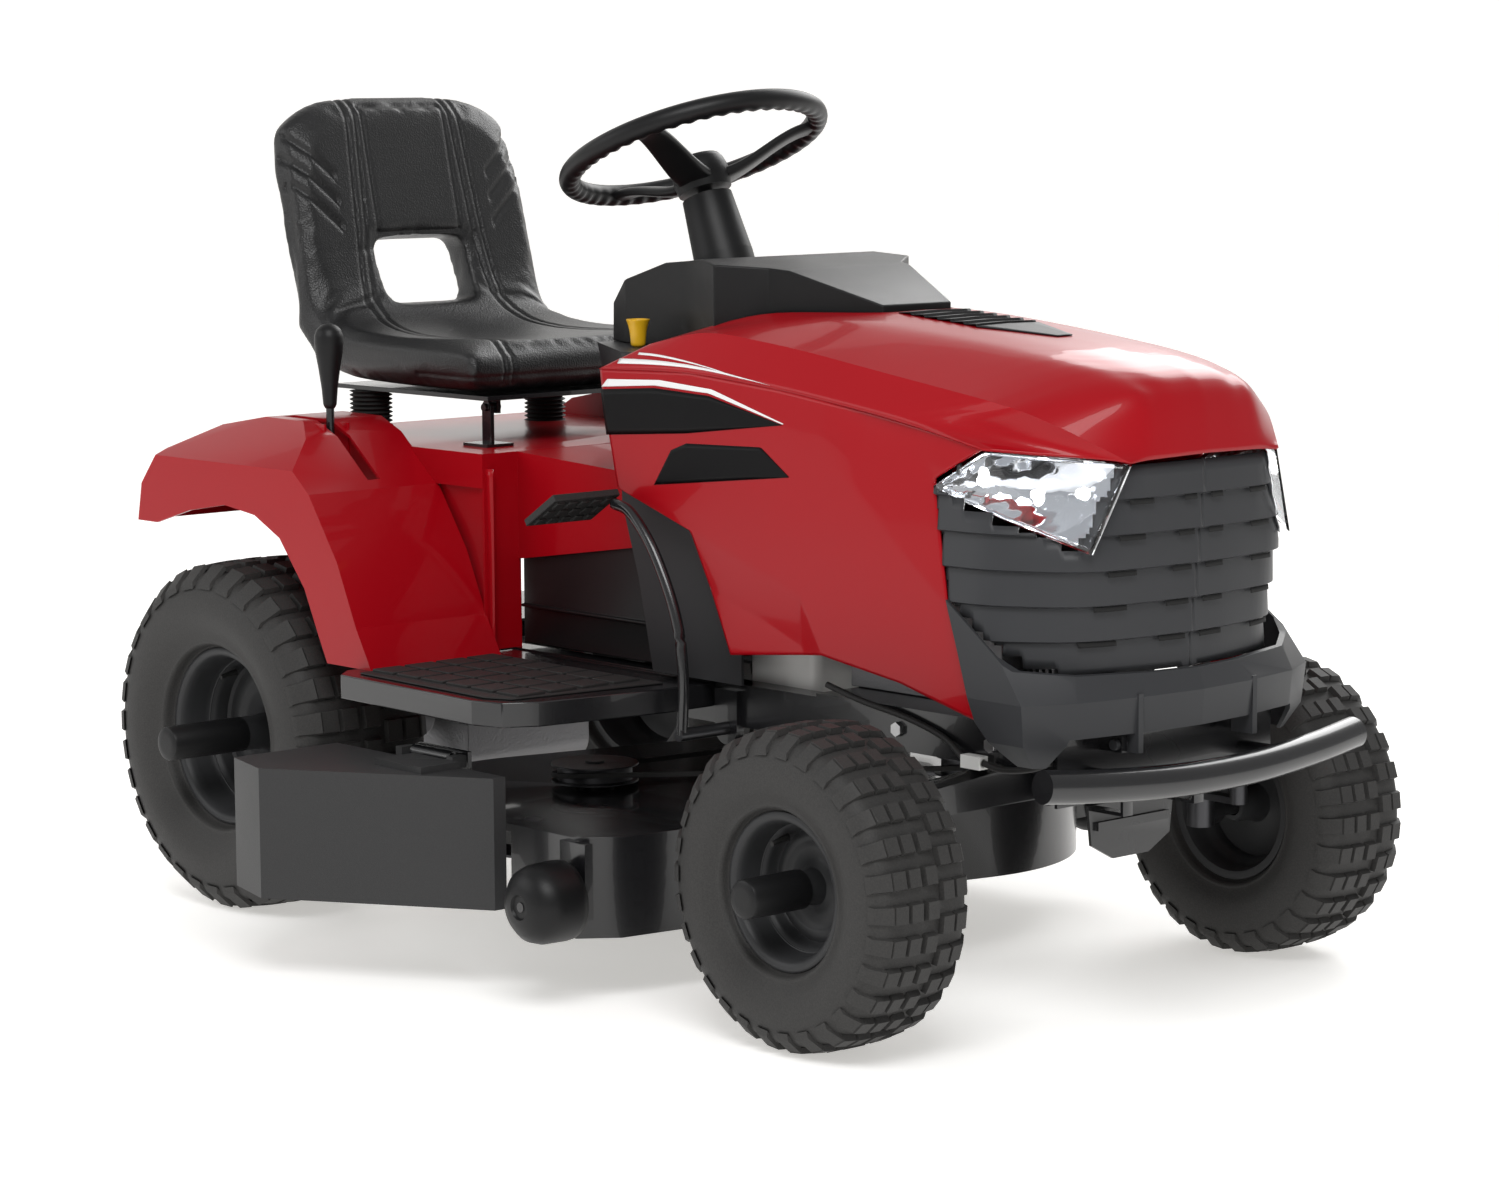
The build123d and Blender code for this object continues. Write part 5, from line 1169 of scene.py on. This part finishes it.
# %% Fender pocket wall
across_x = np.linspace(186, 316, 14)[None, :]
down_z = np.linspace(345, 585, 24)[:, None]
wall_y = -224 + 10 * np.sin(np.pi * (down_z - 345) / 240) * np.cos((across_x - 186) / 130 * np.pi / 2)
for side, s in (("right", -1), ("left", 1)):
    grid = np.stack([across_x + 0 * down_z, wall_y * -s, down_z + 0 * across_x], -1)
    shell("fender_pocket_" + side, grid, RED, "chassis", 2.5, (), 40, outward=(0, s, 0))
print("pocket walls built")

# %% [markdown]
# The footrest mats are thin rubber sheets with raised blocks in a grid.

# %% Mats
for side, s in (("right", -1), ("left", 1)):
    sheet = [(342, 238), (342, 456), (600, 466), (634, 450), (662, 238)]
    bm = bmesh.new()
    base = [bm.verts.new((x, s * y, 350.1)) for x, y in sheet]
    face_made = bm.faces.new(base)
    lifted = bmesh.ops.extrude_face_region(bm, geom=[face_made])["geom"]
    bmesh.ops.translate(bm, vec=(0, 0, 2.4), verts=[g for g in lifted if isinstance(g, bmesh.types.BMVert)])
    for i in range(6):
        for j in range(4):
            made = bmesh.ops.create_cube(bm, size=1.0)["verts"]
            bmesh.ops.scale(bm, vec=(42, 42, 5.0), verts=made)
            bmesh.ops.translate(bm, vec=(490 + (i - 2.5) * 49, s * (346 + (j - 1.5) * 49), 353.4), verts=made)
    bmesh.ops.recalc_face_normals(bm, faces=bm.faces)
    bm.verts.index_update()
    points = np.array([v.co[:] for v in bm.verts])
    faces = [[v.index for v in f.verts] for f in bm.faces]
    bm.free()
    mat_piece = mesh_piece("foot_mat_" + side, row(points), faces, MAT_RUBBER, "chassis",
                           ("footrest_mats",) if s < 0 else (), 30)
    edge = mat_piece.modifiers.new("edge", "BEVEL")
    edge.width, edge.segments = 0.0012, 2
print("mats built")

# %% [markdown]
# The bumper is one bowed tube with flat ends, held by two short stays.

# %% Bumper
bow = spline_path([(1318, -262, 312), (1330, -180, 305), (1340, -80, 299.5), (1342, 0, 298),
                   (1340, 80, 299.5), (1330, 180, 305), (1318, 262, 312)], 70)
tube("bumper_tube", bow, 18.8, BLACK_PAINT, "chassis", ("front_bumper",), 36)
for s in (-1, 1):
    tube("bumper_stay_%s" % ("left" if s > 0 else "right"),
         np.array([(1262, s * 130, 303), (1300, s * 130, 303), (1328, s * 130, 303)], float), 9, BLACK_PAINT,
         "chassis")
print("bumper built")

# %% [markdown]
# The deck's rollers are bored domes, rounded at the outer end and spun round a cross axle.

# %% Rollers
for side, s, x, y_in, y_out in (("right", -1, 744, -458, -532), ("left", 1, 700, 454, 506)):
    d = np.sign(y_out - y_in)
    dome = [(6.2, y_in), (28, y_in), (40, y_in + d * 2), (47, y_in + d * 8), (47.8, y_in + d * 16),
            (47, y_out - d * 28), (43, y_out - d * 15), (34, y_out - d * 6),
            (22, y_out - d * 1), (15, y_out), (13, y_out - d * 3), (8, y_out - d * 3), (6.2, y_out - d * 3)]
    lathe("roller_dome_" + side, dome, np.array([x, 0.0, 130.0]), BLACK_PLASTIC, "roller_" + side,
          (side + "_roller",), segments=64, smooth=50)
print("rollers built")

# %% [markdown]
# The wiring that runs along the right rail is a short cable between a clip and its white plug.

# %% Harness
for k, points in enumerate(([(906, -196, 372), (960, -190, 358), (1030, -186, 346), (1090, -186, 330),
                             (1129, -192, 310)],
                            [(1159, -192, 310), (1190, -190, 306), (1230, -188, 312), (1256, -184, 322)])):
    tube("harness_run_%d" % k, spline_path(points, 40), 3.8, MAT_RUBBER, "chassis",
         ("harness_cable",) if k == 0 else (), 14)
print("harness built")

# %% [markdown]
# The studio floor is pale, glows faintly so that it reads as white, and curves up behind.

# %% Studio floor
size = 12.0
floor_mesh = bpy.data.meshes.new("floor")
curve = [(6.0 + 2 * np.sin(a), 2 - 2 * np.cos(a)) for a in np.linspace(0.1, np.pi / 2, 12)]
profile = np.vstack([[(-size, 0.0), (6.0, 0.0)], curve, [(8.0, 9.0)]])
across = np.array([-size, size])
back = np.array([-0.743, 0.669])
sideways = np.array([0.669, 0.743])
points = [(*(d * back + w * sideways), h) for d, h in profile for w in across]
floor_mesh.from_pydata(points, [], grid_faces(len(profile), 2).tolist())
floor_mesh.polygons.foreach_set("use_smooth", [True] * len(floor_mesh.polygons))
PALE_FLOOR = finish("pale_floor", (0.86, 0.86, 0.86), 0.5, drift=0.01, gloss=0.02, grain=60, bump=0.01,
                    specular=0.1, emission=0.48)
floor_mesh.materials.append(PALE_FLOOR)
floor = bpy.data.objects.new("floor", floor_mesh)
bpy.context.collection.objects.link(floor)
print("floor points:", len(points))

# %% [markdown]
# Three large lamps, a key, a fill and one behind, and an even pale sky give soft shadows.

# %% Lamps and sky
def soft_lamp(name, place, target, width, power):
    """Rectangular lamp at place, facing target; its height is 0.7 of its width."""
    light = bpy.data.lights.new(name, "AREA")
    light.shape, light.size, light.size_y, light.energy = "RECTANGLE", width, width * 0.7, power
    lamp = bpy.data.objects.new(name, light)
    lamp.location = place
    lamp.rotation_euler = (Vector(target) - Vector(place)).to_track_quat("-Z", "Y").to_euler()
    bpy.context.collection.objects.link(lamp)


soft_lamp("key_lamp", (2.4, -2.2, 3.6), (0, 0, 0.4), 2.4, 105)
soft_lamp("fill_lamp", (-2.5, -3.5, 2.2), (0, 0, 0.5), 3.0, 34)
soft_lamp("rim_lamp", (-1.0, 3.6, 3.0), (0, 0, 0.6), 3.0, 90)
world = bpy.data.worlds.new("studio")
world.use_nodes = True
world.node_tree.nodes["Background"].inputs["Color"].default_value = (1, 1, 1, 1)
world.node_tree.nodes["Background"].inputs["Strength"].default_value = 0.42
bpy.context.scene.world = world
bpy.context.scene.view_settings.view_transform = "Standard"
print("lamps:", len(bpy.data.lights))

# %% [markdown]
# The camera is long and far off, ahead of the machine's right front corner. Its axes come from
# its azimuth, elevation and roll, and its place is in machine millimetres.

# %% Camera
CAMERA_AT, CAMERA_TURN, FOCAL_LENGTH = (4262.6, -3335.2, 1083.5), [-41.966, 7.576, -0.32], 95.38
camera_data = bpy.data.cameras.new("studio_camera")
camera_data.sensor_width, camera_data.lens = 36.0, FOCAL_LENGTH
camera_data.clip_end = 100
camera = bpy.data.objects.new("studio_camera", camera_data)
azimuth, elevation, roll = np.radians(CAMERA_TURN)
backward = np.array([np.cos(azimuth) * np.cos(elevation), np.sin(azimuth) * np.cos(elevation),
                     np.sin(elevation)])
right = np.cross(-backward, [0, 0, 1])
right /= np.linalg.norm(right)
upward = np.cross(right, -backward)
right, upward = np.cos(roll) * right + np.sin(roll) * upward, np.cos(roll) * upward - np.sin(roll) * right
place = np.eye(4)
place[:3, 0], place[:3, 1], place[:3, 2] = right, upward, backward
place[:3, 3] = row(CAMERA_AT)
camera.matrix_world = Matrix(place.tolist())
bpy.context.collection.objects.link(camera)
bpy.context.scene.camera = camera
print("camera at", camera.location)
